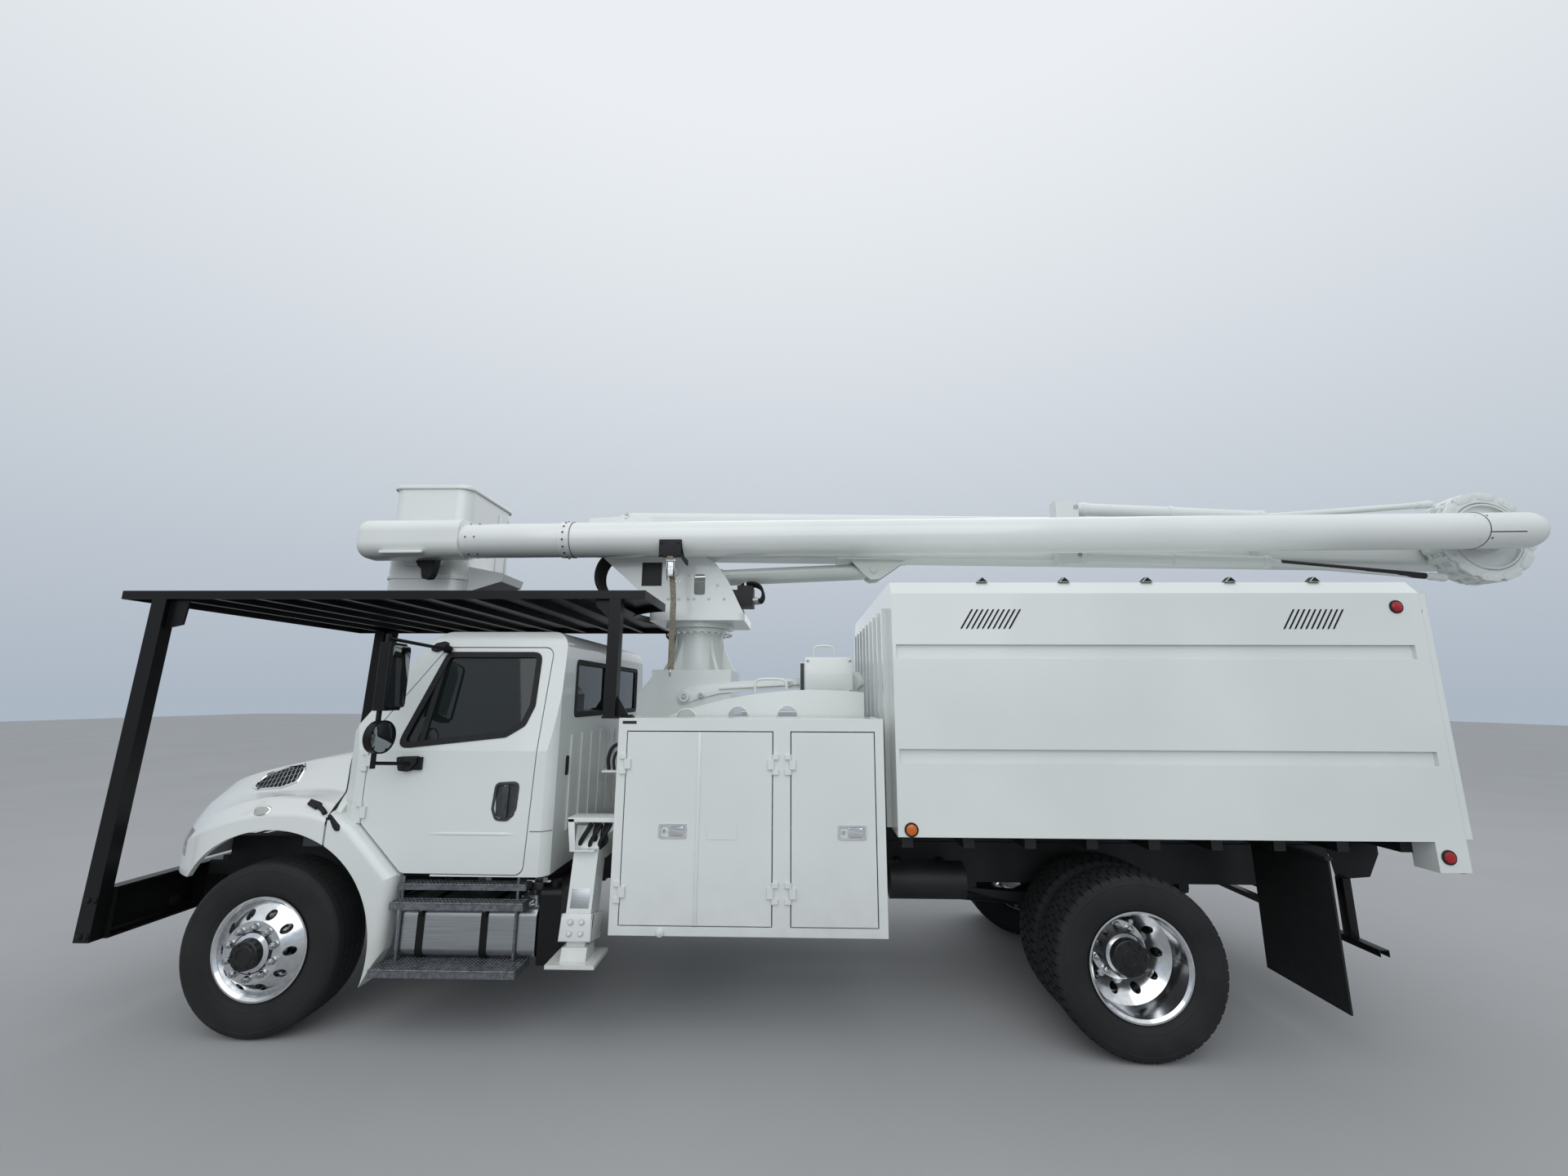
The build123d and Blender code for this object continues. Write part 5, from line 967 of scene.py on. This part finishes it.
for side in (-1, 1):
    for lamps, outward in ((box["sideLamps"], (0, side, 0)), (box["rearLamps"], (1, 0, 0))):
        for (x, y, z), radius, finish in lamps:
            addLathe(shape, ((radius + 9, -3), (radius + 9, 6), (radius + 5, 9), (radius, 9)), (x, side * y, z),
                     outward, 32)
            addLathe(shape, ((radius, 8), (radius - 3, 13), (radius * 0.6, 17), (0, 18)), (x, side * y, z),
                     outward, 32, finish)
placePiece(shape, "box_lamps", "chassis", [blackRubber, clearLens, redLens, orangeLens])

# Under-run bar: a channel open downwards, on two uprights with gussets under the box's last bearer
underrun = {
    "stations": (6838, 6898), "heights": (505, 545), "half": 1010, "upright": 800, "wall": 6,
    "gusset": ((6786, 1119), (7120, 1119), (7120, 1042), (7043, 901), (6827, 884)),
}
shape = bmesh.new()
(front, rear), (low, high), wall = underrun["stations"], underrun["heights"], underrun["wall"]
across = (-underrun["half"], underrun["half"])
addBlock(shape, (front, rear), across, (high - wall, high), 0, 2)
for edge in (front, rear - wall):
    addBlock(shape, (edge, edge + wall), across, (low, high - wall), 0, 2)
for side in (-1, 1):
    middle = side * underrun["upright"]
    addBlock(shape, (front, front + 52), (middle - 30, middle + 30), (high, 900), 0, 4)
    addPlate(shape, underrun["gusset"], (middle, middle + wall), 0, 2)
placePiece(shape, "underrun_bar", "chassis", [blackEnamel])
print("chip box fitted")

# Upper boom: bolted joint of the insulating section and the screws of the tip's end
boom = {"x": 8800, "z": 3316, "y": -510, "slope": math.radians(0.45), "joint": 7300, "tipScrews": (8060, 7990)}
boomSkin = 139  # just inside the boom's outer radius


def boomPlace(run, turn, radius):
    # run: distance from the elbow towards the tip; turn: round the boom, 0 towards the camera's side, 90 up
    angle, slope = math.radians(turn), boom["slope"]
    up = radius * math.sin(angle)
    x = boom["x"] - run * math.cos(slope) - up * math.sin(slope)
    z = boom["z"] - run * math.sin(slope) + up * math.cos(slope)
    return (x, boom["y"] - radius * math.cos(angle), z)


def addHoop(shape, run, wide, high, finish=0):
    axis = Vector((-math.cos(boom["slope"]), 0, -math.sin(boom["slope"])))
    half = wide / 2
    profile = ((boomSkin, -half), (high, 1 - half), (high, half - 1), (boomSkin, half))
    addLathe(shape, profile, boomPlace(run, 0, 0), axis, 48, finish)


def addScrew(shape, run, turn, low, high, radius=7, finish=1):
    addRod(shape, boomPlace(run, turn, low), boomPlace(run, turn, high), radius, 10, finish)


shape = bmesh.new()
addHoop(shape, boom["joint"], 10, 145)
addHoop(shape, boom["joint"] - 50, 4, 144.5, 1)
for number in range(16):
    addScrew(shape, boom["joint"], number * 22.5 + 11, 141, 150)
for run in boom["tipScrews"]:
    for turn in range(-60, 241, 60):
        addScrew(shape, run, turn, 138, 142.5, 6)
placePiece(shape, "boom_joint_bolts", "upper_boom", [whiteGelcoat, darkSteel])
print("upper boom fitted")

# Outriggers: bolted collar, blank plate, hose bracket and hoses over the sleeve
outrigger = {
    "station": 1990, "tilt": math.radians(12), "footAcross": 1150, "foot": 505,
    "strut": ((1880, 1290), (1922, 1290), (1940, 1104), (1904, 1104)),
    # Stations, distances across, heights and edge of the bracket's plates, and of the shelf on the locker's wall
    "plates": (((1880, 2186), (1010, 1160), (1286, 1296), 3), ((1880, 2186), (1152, 1160), (1270, 1290), 2),
               ((1904, 2060), (1080, 1160), (1096, 1106), 2), ((2082, 2190), (1020, 1180), (1572, 1582), 2)),
    # Station, distance across and radius of each hose
    "hoses": ((2016, 1090, 15), (2050, 1070, 15), (2080, 1100, 13), (2112, 1066, 17), (2140, 1096, 13),
              (2066, 1036, 16), (2126, 1030, 14)),
    "feeds": ((12, ((2110, 1120, 1582), (2104, 1124, 1650), (2124, 1120, 1716), (2168, 1104, 1742),
                    (2196, 1080, 1738))),
              (9, ((2146, 1126, 1582), (2140, 1128, 1640), (2156, 1120, 1690), (2196, 1090, 1700)))),
}


def onLeg(side, along, outward, up):  # along the truck, out of the leg's outer face, up the leg
    lean = outrigger["tilt"]
    across = outrigger["footAcross"] - up * math.sin(lean) + outward * math.cos(lean)
    height = outrigger["foot"] + up * math.cos(lean) + outward * math.sin(lean)
    return at(outrigger["station"] + along, side * across, height)


for side, hand in hands:
    shape = bmesh.new()
    outward = onLeg(side, 0, 1, 0) - onLeg(side, 0, 0, 0)
    for face, (near, far), finish in ((rectangle((-96, 96), (92, 236)), (77, 97), 0),
                                      (rectangle((-58, 58), (262, 372)), (75, 78.5), 1)):
        addPrism(shape, [onLeg(side, u, near, w) for u, w in face], outward * (far - near), finish, 3)
    for u in (-34, 34):
        for w in (134, 194):
            addHexNut(shape, placeOf(onLeg(side, u, 97, w)), outward, 26, 12, 0, 19)
    for u in (-96, 80):  # collar's side plates
        addPrism(shape, [onLeg(side, u, v, w) for v, w in ((-84, 96), (97, 96), (97, 236), (-84, 236))],
                 Vector((0.016, 0, 0)), 0, 3)
    for x, (near, far), z, edge in outrigger["plates"]:
        addBlock(shape, x, span(side, near, far), z, 0, edge)
    addPrism(shape, [at(x, side * 1152, z) for x, z in outrigger["strut"]], Vector((0, side * 0.008, 0)), 0, 2)
    placePiece(shape, f"outrigger_bracket_{hand}", "chassis", [whiteEnamel, brushedAluminium])
    shape = bmesh.new()
    for number, (x, y, radius) in enumerate(outrigger["hoses"]):
        sag = 30 if number % 2 else -22
        hose = ((0, 0, 1284), (-8, 12, 1240), (sag * 0.4 - 26, 26, 1190), (sag - 44, 6, 1140),
                (sag * 0.3 - 70, -26, 1098))
        addTube(shape, [(x + along, side * (y + out), z) for along, out, z in hose], radius, 10, 0, 5)
        addLathe(shape, ((radius + 5, 0), (radius + 5, 30), (radius, 34)), (x, side * y, 1250), (0, 0, 1), 6, 1)
    for radius, places in outrigger["feeds"]:
        addTube(shape, [(x, side * y, z) for x, y, z in places], radius)
    placePiece(shape, f"outrigger_hoses_{hand}", "chassis", [blackRubber, nutSteel])
print("outriggers fitted")

# Lockers: the pair's lap strip and leaf cover, blank labels, drain bosses and strips on the roof's edge
lockerTrim = {
    "lap": (2692, 2714), "doorHeights": (706, 1824), "leafCover": ((2756, 2948), (1186, 1286)),
    "label": ((2212, 2300), (1872, 1890)), "drain": (2498, 668), "roof": (2192, 3844),
    "drainRows": ((20, ((24, 0), (24, 12), (20, 16), (10, 17), (0, 17))), (12, ((9, 17), (9, 24), (0, 25)))),
}
shape = bmesh.new()
addBlock(shape, lockerTrim["lap"], (-1223, -1218), lockerTrim["doorHeights"], 0, 1.5)
placePiece(shape, "locker_lap_strip", "locker_door_left_front", [whiteEnamel])
shape = bmesh.new()
stations, heights = lockerTrim["leafCover"]
addBlock(shape, stations, (-1219.6, -1218.4), heights)
placePiece(shape, "locker_leaf_cover", "locker_door_left_middle", [whiteEnamel])
shape = bmesh.new()
(front, rear), (station, height) = lockerTrim["roof"], lockerTrim["drain"]
for side in (-1, 1):
    stations, heights = lockerTrim["label"]
    addBlock(shape, stations, span(side, 1218, 1220.5), heights)
    for sides, profile in lockerTrim["drainRows"]:
        addLathe(shape, profile, (station, side * bodyHalf, height), (0, side, 0), sides, 1)
    for x in (front, rear):
        addRod(shape, (x, side * 640, 1900), (x, side * 1215, 1900), 5, 8, 1)
    addRod(shape, (front, side * 1215, 1899), (rear, side * 1215, 1899), 5, 8, 1)
placePiece(shape, "locker_labels", "chassis", [darkSteel, whiteEnamel])
shape = bmesh.new()
for side in (-1, 1):  # rubber plugs close the front bumper's two holes
    for x, outward in ((-1150, -1), (-1138, 1)):
        addLathe(shape, ((37, 0), (35, 4), (28, 5), (0, 5)), (x, side * 560, 600), (outward, 0, 0), 24)
placePiece(shape, "bumper_plugs", "chassis", [blackRubber])
print("lockers trimmed")

# Turntable: bearing bolts, pin keepers, blank plate, hoses at its front and the valve block behind it
turntable = {
    "station": 2480, "bolts": 28, "boltCircle": 262, "boltHeight": 2562, "plate": 331, "keeper": 338,
    "plateBolts": ((2356, 2817), (2432, 2817), (2480, 2817), (2600, 2817), (2723, 2817), (2668, 2930), (2270, 2817),
                   (2440, 3010), (2190, 2790)),
    "pins": ((1900, 3420, 74), (2300, 3040, 44)),
    # Station, distance across from the hose's own place and height
    "frontHose": ((1850, 0, 3205), (1770, -4, 3204), (1694, -4, 3150), (1656, 0, 3060), (1664, 0, 2960),
                  (1722, 4, 2876), (1840, 2, 2828), (2000, 0, 2800), (2140, 0, 2782)),
    "valveHose": ((2990, 0, 2820), (3016, 4, 2826), (3030, 8, 2870), (3012, 12, 2930), (2960, 12, 2962),
                  (2890, 10, 2958), (2850, 8, 2934)),
}
shape = bmesh.new()
for x, y in boltCircle((turntable["station"], 0), turntable["boltCircle"], turntable["bolts"], 0.5):
    addHexNut(shape, (x, y, turntable["boltHeight"]), (0, 0, -1), 24, 16)
placePiece(shape, "pedestal_bolts", "chassis", [whiteEnamel])
shape = bmesh.new()
for side in (-1, 1):
    for x, z in turntable["plateBolts"]:
        addHexNut(shape, (x, side * turntable["plate"], z), (0, side, 0), 15, 8, 0, 11)
    near, far = turntable["keeper"], turntable["keeper"] + 14
    for x, z, radius in turntable["pins"]:
        addLathe(shape, ((radius, 0), (radius, 10), (radius - 5, 14), (26, 14), (24, 10), (0, 10)), (x, side * near, z),
                 (0, side, 0), 36)
        addBlock(shape, (x - 12, x + 12), span(side, near, far), (z + radius - 12, z + radius + 46), 0, 3)
        addHexNut(shape, (x, side * far, z + radius + 32), (0, side, 0), 17, 9, 2, 12)
addBlock(shape, (2046, 2213), (-333.5, -330), (2922, 3119), 1, 2)
for x in (2300, 2330, 2360):
    addRod(shape, (x, -330, 2960), (x, -337, 2960), 6, 10, 2)
placePiece(shape, "turntable_bolts", "turntable", [whiteEnamel, darkSteel, nutSteel])
shape = bmesh.new()
for across in spread(-262, -86, 5):  # thick hoses bend from the boom's foot into the turntable's front
    addTube(shape, [(x, across + y, z) for x, y, z in turntable["frontHose"]], 21, 12, 0, 5)
for x, z in ((1838, 3205), (2040, 2796)):
    addBlock(shape, (x - 16, x + 16), (-290, -60), (z - 30, z + 30), 1, 3)
placePiece(shape, "turntable_hoses", "turntable", [blackRubber, blackEnamel])
shape = bmesh.new()
addBlock(shape, (2823, 2950), (-290, -60), (2770, 2936), 0, 5)  # valve block bolted behind the lift cylinder's foot
addBlock(shape, (2740, 2826), (-290, -80), (2775, 2900), 0, 3)
for across in spread(-270, -102, 4):
    addRod(shape, (2950, across, 2820), (2992, across, 2820), 17, 16, 2)
    addLathe(shape, ((13, 0), (13, 34), (9, 40), (0, 41)), (2886, across, 2936), (0, 0, 1), 12, 2)
    addTube(shape, [(x, across + y, z) for x, y, z in turntable["valveHose"]], 11, 10, 1, 5)
placePiece(shape, "turntable_valves", "turntable", [darkSteel, blackRubber, nutSteel])
print("turntable fitted")

# Upper boom: rest pad with its hold-down strap, domed cap's seam and slot, tip cover's rib
def alongBoom(x):
    return (boom["x"] - x) / math.cos(boom["slope"])


def addArc(shape, runs, turns, high, finish=0, steps=14):
    section = rectangle(runs, (boomSkin, high))
    rows = [[at(*boomPlace(run, turn, radius)) for run, radius in section] for turn in spread(*turns, steps + 1)]
    addSkin(shape, rows, finish)


restPad = {
    "stations": (2257, 2427), "flap": ((2427, 3112), (2482, 3062), (2482, 3016), (2462, 3030), (2427, 3080)),
    "bolts": ((2276, 2408), (3108, 3200)),
}
shape = bmesh.new()
front, rear = restPad["stations"]
addArc(shape, (alongBoom(rear), alongBoom(front)), (-90, -16), 149)
addPlate(shape, [(front, 3224), (rear, 3224), (rear, 3086), (front, 3086)], (-664, -650), 0, 4)
addPlate(shape, restPad["flap"], (-660, -640), 0, 3)
for x in restPad["bolts"][0]:
    for z in restPad["bolts"][1]:
        addHexNut(shape, (x, -664, z), (0, -1, 0), 14, 7, 1, 11)
placePiece(shape, "boom_rest_pad", "upper_boom", [blackRubber, darkSteel])
strapTrim = {
    "upper": ((2346, -668, 3090), (2358, -664, 3020), (2372, -660, 2890), (2382, -657, 2750)),
    "lower": ((2382, -657, 2750), (2380, -650, 2236)),
    "wide": 22, "thick": 2.2,
    "cheek": ((-696, 3066), (-656, 3080), (-656, 2900), (-682, 2906), (-708, 2980)),
    "hook": ((2380, -650, 2250), (2380, -668, 2232), (2380, -672, 2206), (2378, -656, 2190), (2376, -640, 2200)),
}
webbing = makePlastic("polyesterWebbing", ("#6E6B5C", "#8C8877"), 0.85, 900, 0.0005)
wide, thick = strapTrim["wide"], strapTrim["thick"]
for part, body in (("upper", "upper_boom"), ("lower", "chassis")):
    shape = bmesh.new()
    addSkin(shape, [[at(a, b, z) for a, b in rectangle((x - wide, x + wide), (y - thick, y + thick))]
                    for x, y, z in strapTrim[part]])
    if part == "upper":  # ratchet buckle: two cheeks, spindle and lever
        for x in (2330, 2388):
            addPrism(shape, [at(x, y, z) for y, z in strapTrim["cheek"]], Vector((0.004, 0, 0)), 1, 1)
        addRod(shape, (2326, -676, 2970), (2396, -676, 2970), 11, 16, 1)
        addRod(shape, (2326, -690, 3050), (2396, -690, 3050), 7, 12, 1)
        addBlock(shape, (2338, 2384), (-706, -700), (2926, 3040), 1, 3)
    else:
        addTube(shape, strapTrim["hook"], 8, 10, 1, 5)
    placePiece(shape, f"strap_{part}", body, [webbing, nutSteel])
capTrim = {"seam": 321, "slot": (58, 318), "slotTurn": -15, "screws": (40, 142, -38, 218)}
shape = bmesh.new()
addHoop(shape, capTrim["seam"], 6, 142.6, 1)
for turn in capTrim["screws"]:
    addScrew(shape, capTrim["seam"] - 26, turn, 137, 142)
    addScrew(shape, capTrim["seam"] + 60, turn, 138, 143, finish=0)
for turn, high, finish in ((capTrim["slotTurn"], 143, 0), (capTrim["slotTurn"] - 3.4, 140.6, 1)):
    addArc(shape, capTrim["slot"], (turn - 1.4, turn + 1.4), high, finish, 3)
placePiece(shape, "boom_cap_seam", "upper_boom", [whiteGelcoat, greyPlastic])
# Moulded rib near the tip cover's foot
rib = roundOutline([(80, 3123), (412, 3126), (412, 3146), (80, 3143)], 9, 3)
shape = bmesh.new()
addSkin(shape, [[at(x, y, z) for x, z in growOutline(rib, grow)] for y, grow in
                ((-636, 4), (-652, 3), (-657, 0), (-659, -4))])
placePiece(shape, "tip_cover_rib", "upper_boom", [whiteGelcoat])
print("upper boom dressed")

# Chain round the elbow drum: paired link plates on pins, in the same white paint
chain = {
    "radius": 334, "links": 24, "plate": 33, "rows": (-338, -312, -286, -234, -208, -182),
    "pins": ((-345, -276), (-244, -175)), "clevises": (-310, -210), "rims": (268, 128), "rimAcross": -345,
}
elbow = (boom["x"], boom["z"])
shape = bmesh.new()
turns = [2 * math.pi * number / chain["links"] for number in range(chain["links"] + 1)]
pins = boltCircle(elbow, chain["radius"], chain["links"])
for number, (x, z) in enumerate(pins):
    outline = []
    for (a, b), turn, sign in (((x, z), turns[number], -1), (pins[(number + 1) % len(pins)], turns[number + 1], 1)):
        for angle in spread(turn + (sign - 1) * math.pi / 2, turn + (sign + 1) * math.pi / 2, 7):
            outline.append((a + chain["plate"] * math.cos(angle), b + chain["plate"] * math.sin(angle)))
    for place, across in enumerate(chain["rows"]):
        if (place + number) % 2:
            addPlate(shape, outline, (across - 10, across + 10), 0, 2)
    for near, far in chain["pins"]:
        addRod(shape, (x, near, z), (x, far, z), 15)
        addLathe(shape, ((20, 0), (20, 3), (12, 5), (0, 6)), (x, near, z), (0, -1, 0), 14)
for height in (elbow[1] + chain["radius"], elbow[1] - chain["radius"]):
    for across in chain["clevises"]:  # towards the level rods
        addPlate(shape, [(8720, height - 30), (8810, height - 34), (8810, height + 34), (8720, height + 26)],
                 (across - 26, across + 26), 0, 6)
placePiece(shape, "elbow_chain", "elbow", [whiteEnamel])
shape = bmesh.new()
for radius in chain["rims"]:
    addLathe(shape, ((radius, 0), (radius, 5), (radius - 14, 5), (radius - 14, 0)),
             (elbow[0], chain["rimAcross"], elbow[1]), (0, -1, 0), 64)
placePiece(shape, "elbow_drum_rims", "elbow", [whiteEnamel])
print("chain made")

# Tool rack: link arms and pins, rings round the holes, a hand loop, and the control cabinet beside them
rack = {
    "arm": ((2362, 2030), (2384, 2096), (2470, 2118), (2700, 2150), (2980, 2172), (3300, 2186), (3620, 2196),
            (3700, 2232), (3790, 2236), (3830, 2190), (3838, 2092), (3790, 2076), (3760, 2120), (3640, 2116),
            (3300, 2108), (2980, 2092), (2700, 2064), (2540, 2024), (2440, 1986), (2388, 1984)),
    "link": ((3560, 1960), (3640, 1960), (3820, 2150), (3800, 2232), (3730, 2236), (3680, 2190)),
    "stiffener": ((2700, 2096), (3560, 2148), (3560, 2164), (2700, 2112)),
    "pins": ((2427, 2041, 44), (3798, 2159, 38), (3719, 2027, 34), (2560, 2054, 24), (3250, 2146, 26)),
    "holes": ((2500, 1880), (2880, 1900), (3240, 1905)),
    "loop": ((2997, 2030), (2998, 2120), (3012, 2160), (3050, 2172), (3180, 2172), (3218, 2158), (3232, 2118),
             (3232, 2034)),
    "cabinetLoop": ((3440, 2338), (3441, 2400), (3456, 2424), (3500, 2430), (3560, 2428), (3592, 2404), (3598, 2338)),
    # Stations, distances across, heights, finish and edge: the cabinet, then its side channel and two feet
    "cabinet": ((3369, 3734), (-480, -400), (2062, 2340), 0, 10),
    "mounts": (((3330, 3370), (-470, -410), (2062, 2300), 2, 5), ((3390, 3430), (-590, -420), (2040, 2066), 0, 3),
               ((3670, 3710), (-590, -420), (2040, 2066), 0, 3)),
}
shape = bmesh.new()
addPlate(shape, roundOutline(rack["arm"], 26, 4), (-340, -318), 0, 3)
addPlate(shape, roundOutline(rack["link"], 30, 4), (-372, -344), 0, 4)
for x, z, radius in rack["pins"]:
    addLathe(shape, ((radius, -40), (radius, 14), (radius - 5, 19), (radius * 0.5, 19), (radius * 0.45, 15), (0, 15)),
             (x, -342, z), (0, -1, 0), 32)
    addHexNut(shape, (x, -357, z), (0, -1, 0), radius * 0.7, 12, 1)
addPlate(shape, rack["stiffener"], (-352, -338), 0, 3)
for x, z in rack["holes"]:
    addLathe(shape, ((79, -2), (79, 7), (71, 9), (69, 6), (69, -20)), (x, -606, z), (0, -1, 0), 40)
addTube(shape, [(x, -560, z) for x, z in rack["loop"]], 10, 10, 0, 5)
addBlock(shape, *rack["cabinet"])
addTube(shape, [(x, -440, z) for x, z in rack["cabinetLoop"]], 9, 10, 0, 5)
for x in (3392, 3712):
    for z in (2088, 2314):
        addHexNut(shape, (x, -480, z), (0, -1, 0), 13, 7, 1, 10)
for mount in rack["mounts"]:
    addBlock(shape, *mount)
placePiece(shape, "rack_arms_and_cabinet", "chassis", [whiteEnamel, nutSteel, greyPlastic])
print("tool rack fitted")

# Level gear: clevises at the brackets, collars on barrels and rods, one white rod and one dark rod; the lower rod's
# dark steel is painted shade, as it runs beneath the upper boom
gear = {"across": -216, "barrelCollars": (0.05, 0.5, 0.96), "rodCollars": ((0.02, 30, 60), (0.93, 31, 120))}
gear["lines"] = [[(x, gear["across"], z) for x, z in line] for line in
                 (((5600, 3598), (7170, 3520), (8520, 3623)), ((5600, 3192), (7160, 3138), (8520, 3009)))]
shape = bmesh.new()
for near, middle, far in gear["lines"]:
    for share, radius, length in gear["rodCollars"]:
        addLathe(shape, ((24, 0), (radius, 4), (radius, length - 4), (24, length)), between(middle, far, share),
                 at(*far) - at(*middle), 24)
    for share in gear["barrelCollars"]:
        addLathe(shape, ((51, 0), (57, 3), (57, 45), (51, 48)), between(near, middle, share), at(*middle) - at(*near),
                 28)
    height = near[2]
    for across in (-262, -186):
        addBlock(shape, (5560, 5650), (across, across + 14), (height - 42, height + 42), 0, 4)
    addRod(shape, (5620, -272, height), (5620, -170, height), 20, 18, 1)
placePiece(shape, "level_gear_fittings", "lower_boom", [whiteEnamel, nutSteel])
shape = bmesh.new()
# Second finish, dark steel on the lower rod: painted shade under the upper boom
for finish, (near, middle, far) in enumerate(gear["lines"]):
    addRod(shape, (middle[0] + 40, *middle[1:]), between(middle, far, 0.9), 25.5, 20, finish)
placePiece(shape, "level_gear_rods", "lower_boom", [whiteEnamel, darkSteel])
print("level gear fitted")

# Bucket: rolled rim bead, foot band, ribs on the rear wall, step grip and the control box with its levers
bucketTrim = {
    "x": (-150, 543), "y": (-300, 500), "corner": 124, "ribs": (240, 420),
    # Outward growth and height of each row
    "rim": ((-1, 3774), (3, 3778), (4, 3792), (2, 3804), (-5, 3812), (-18, 3812), (-25, 3805), (-25, 3774)),
    "foot": ((-15, 2990), (-9, 2996), (-9, 3018), (-15, 3024)),
    "knob": ((4, 0), (15, 8), (17, 18), (12, 28), (0, 31)),
}


def bucketRing(grow, z, corner):
    x, y = ((low - grow, high + grow) for low, high in (bucketTrim["x"], bucketTrim["y"]))
    return [at(a, b, z) for a, b in roundOutline(rectangle(x, y), corner, 8)]


shape = bmesh.new()
for band, corner in (("rim", bucketTrim["corner"]), ("foot", bucketTrim["corner"] - 6)):
    addSkin(shape, [bucketRing(grow, z, corner) for grow, z in bucketTrim[band]], ends=False)
for y in bucketTrim["ribs"]:
    addBlock(shape, (528, 537), (y - 20, y + 20), (2900, 3700), 0, 4)
placePiece(shape, "bucket_rim", "bucket", [whiteGelcoat])
shape = bmesh.new()
for row in range(5):
    x, z = 600 + row * 42, 3054 - row * 8
    addBlock(shape, (x, x + 12), (-150, 150), (z, z + 8), 0, 2)
addBlock(shape, (20, 380), (-262, -226), (3560, 3700), 0, 8)  # control box inside the near wall
for x in spread(60, 340, 5):
    addRod(shape, (x, -244, 3700), (x, -244, 3762), 6, 10, 1)
    addLathe(shape, bucketTrim["knob"], (x, -244, 3756), (0, 0, 1), 18)
addBlock(shape, (10, 390), (-270, -262), (3700, 3724), 0, 3)
placePiece(shape, "bucket_controls", "bucket", [blackRubber, nutSteel])
# Black cover hanging below the boom tip, with hoses into the tip
tipBag = {
    "outline": ((270, 3140), (420, 3150), (412, 3070), (398, 3000), (380, 2962), (318, 2958), (306, 3030), (288, 3080)),
    "hoses": ((13, ((250, -420, 3150), (262, -430, 3080), (330, -440, 3050), (392, -430, 3110), (430, -420, 3168))),
              (11, ((210, -400, 3160), (240, -410, 3098), (300, -420, 3084), (360, -420, 3130), (402, -410, 3172)))),
}
shape = bmesh.new()
addPlate(shape, roundOutline(tipBag["outline"], 20, 4), (-470, -400), 0, 8)
for radius, places in tipBag["hoses"]:
    addTube(shape, places, radius, 10, 0, 5)
placePiece(shape, "tip_cover_bag", "upper_boom", [blackRubber])
print("bucket fitted")

# Cab's inside: gauges, blocks on the dash, sun visors, switch panel and gear lever
inside = {
    "gauges": ((-560, 1648, 42), (-400, 1648, 42), (-650, 1640, 24), (-650, 1590, 24), (-310, 1640, 24),
               (-310, 1590, 24)),
    "lean": (0.88, 0, 0.47), "lever": ((930, -130, 1100), (936, -132, 1300), (920, -136, 1480), (900, -140, 1560)),
    "knob": ((8, 0), (26, 10), (30, 30), (22, 48), (0, 54)),
}
shape = bmesh.new()
for y, z, radius in inside["gauges"]:
    for profile, finish in ((((radius + 6, 0), (radius + 6, 12), (radius + 1, 15), (radius, 8), (0, 8)), 0),
                            (((radius, 9), (0, 9.5)), 1)):
        addLathe(shape, profile, (742 - (z - 1600) * 0.9, y, z - 6), inside["lean"], 28, finish)
for y in (-480, 480):
    addBlock(shape, (640, 700), (y - 90, y + 90), (1500, 1580), 0, 8)
for side in (-1, 1):  # sun visors folded against the header
    addBlock(shape, (760, 800), span(side, 130, 680), (2300, 2400), 2, 10)
addBlock(shape, (640, 760), (-140, 140), (1330, 1640), 0, 16)
for low in range(1440, 1537, 48):  # rows of switches
    for across in range(-110, 65, 58):
        addBlock(shape, (755, 764), (across, across + 42), (low, low + 30), 1, 3)
addTube(shape, inside["lever"], 12, 12, 0, 5)
addLathe(shape, inside["knob"], (900, -140, 1556), (0, 0, 1), 20)
placePiece(shape, "cab_instruments", "chassis", [greyPlastic, darkSteel, seatCloth])
print("cab furnished")
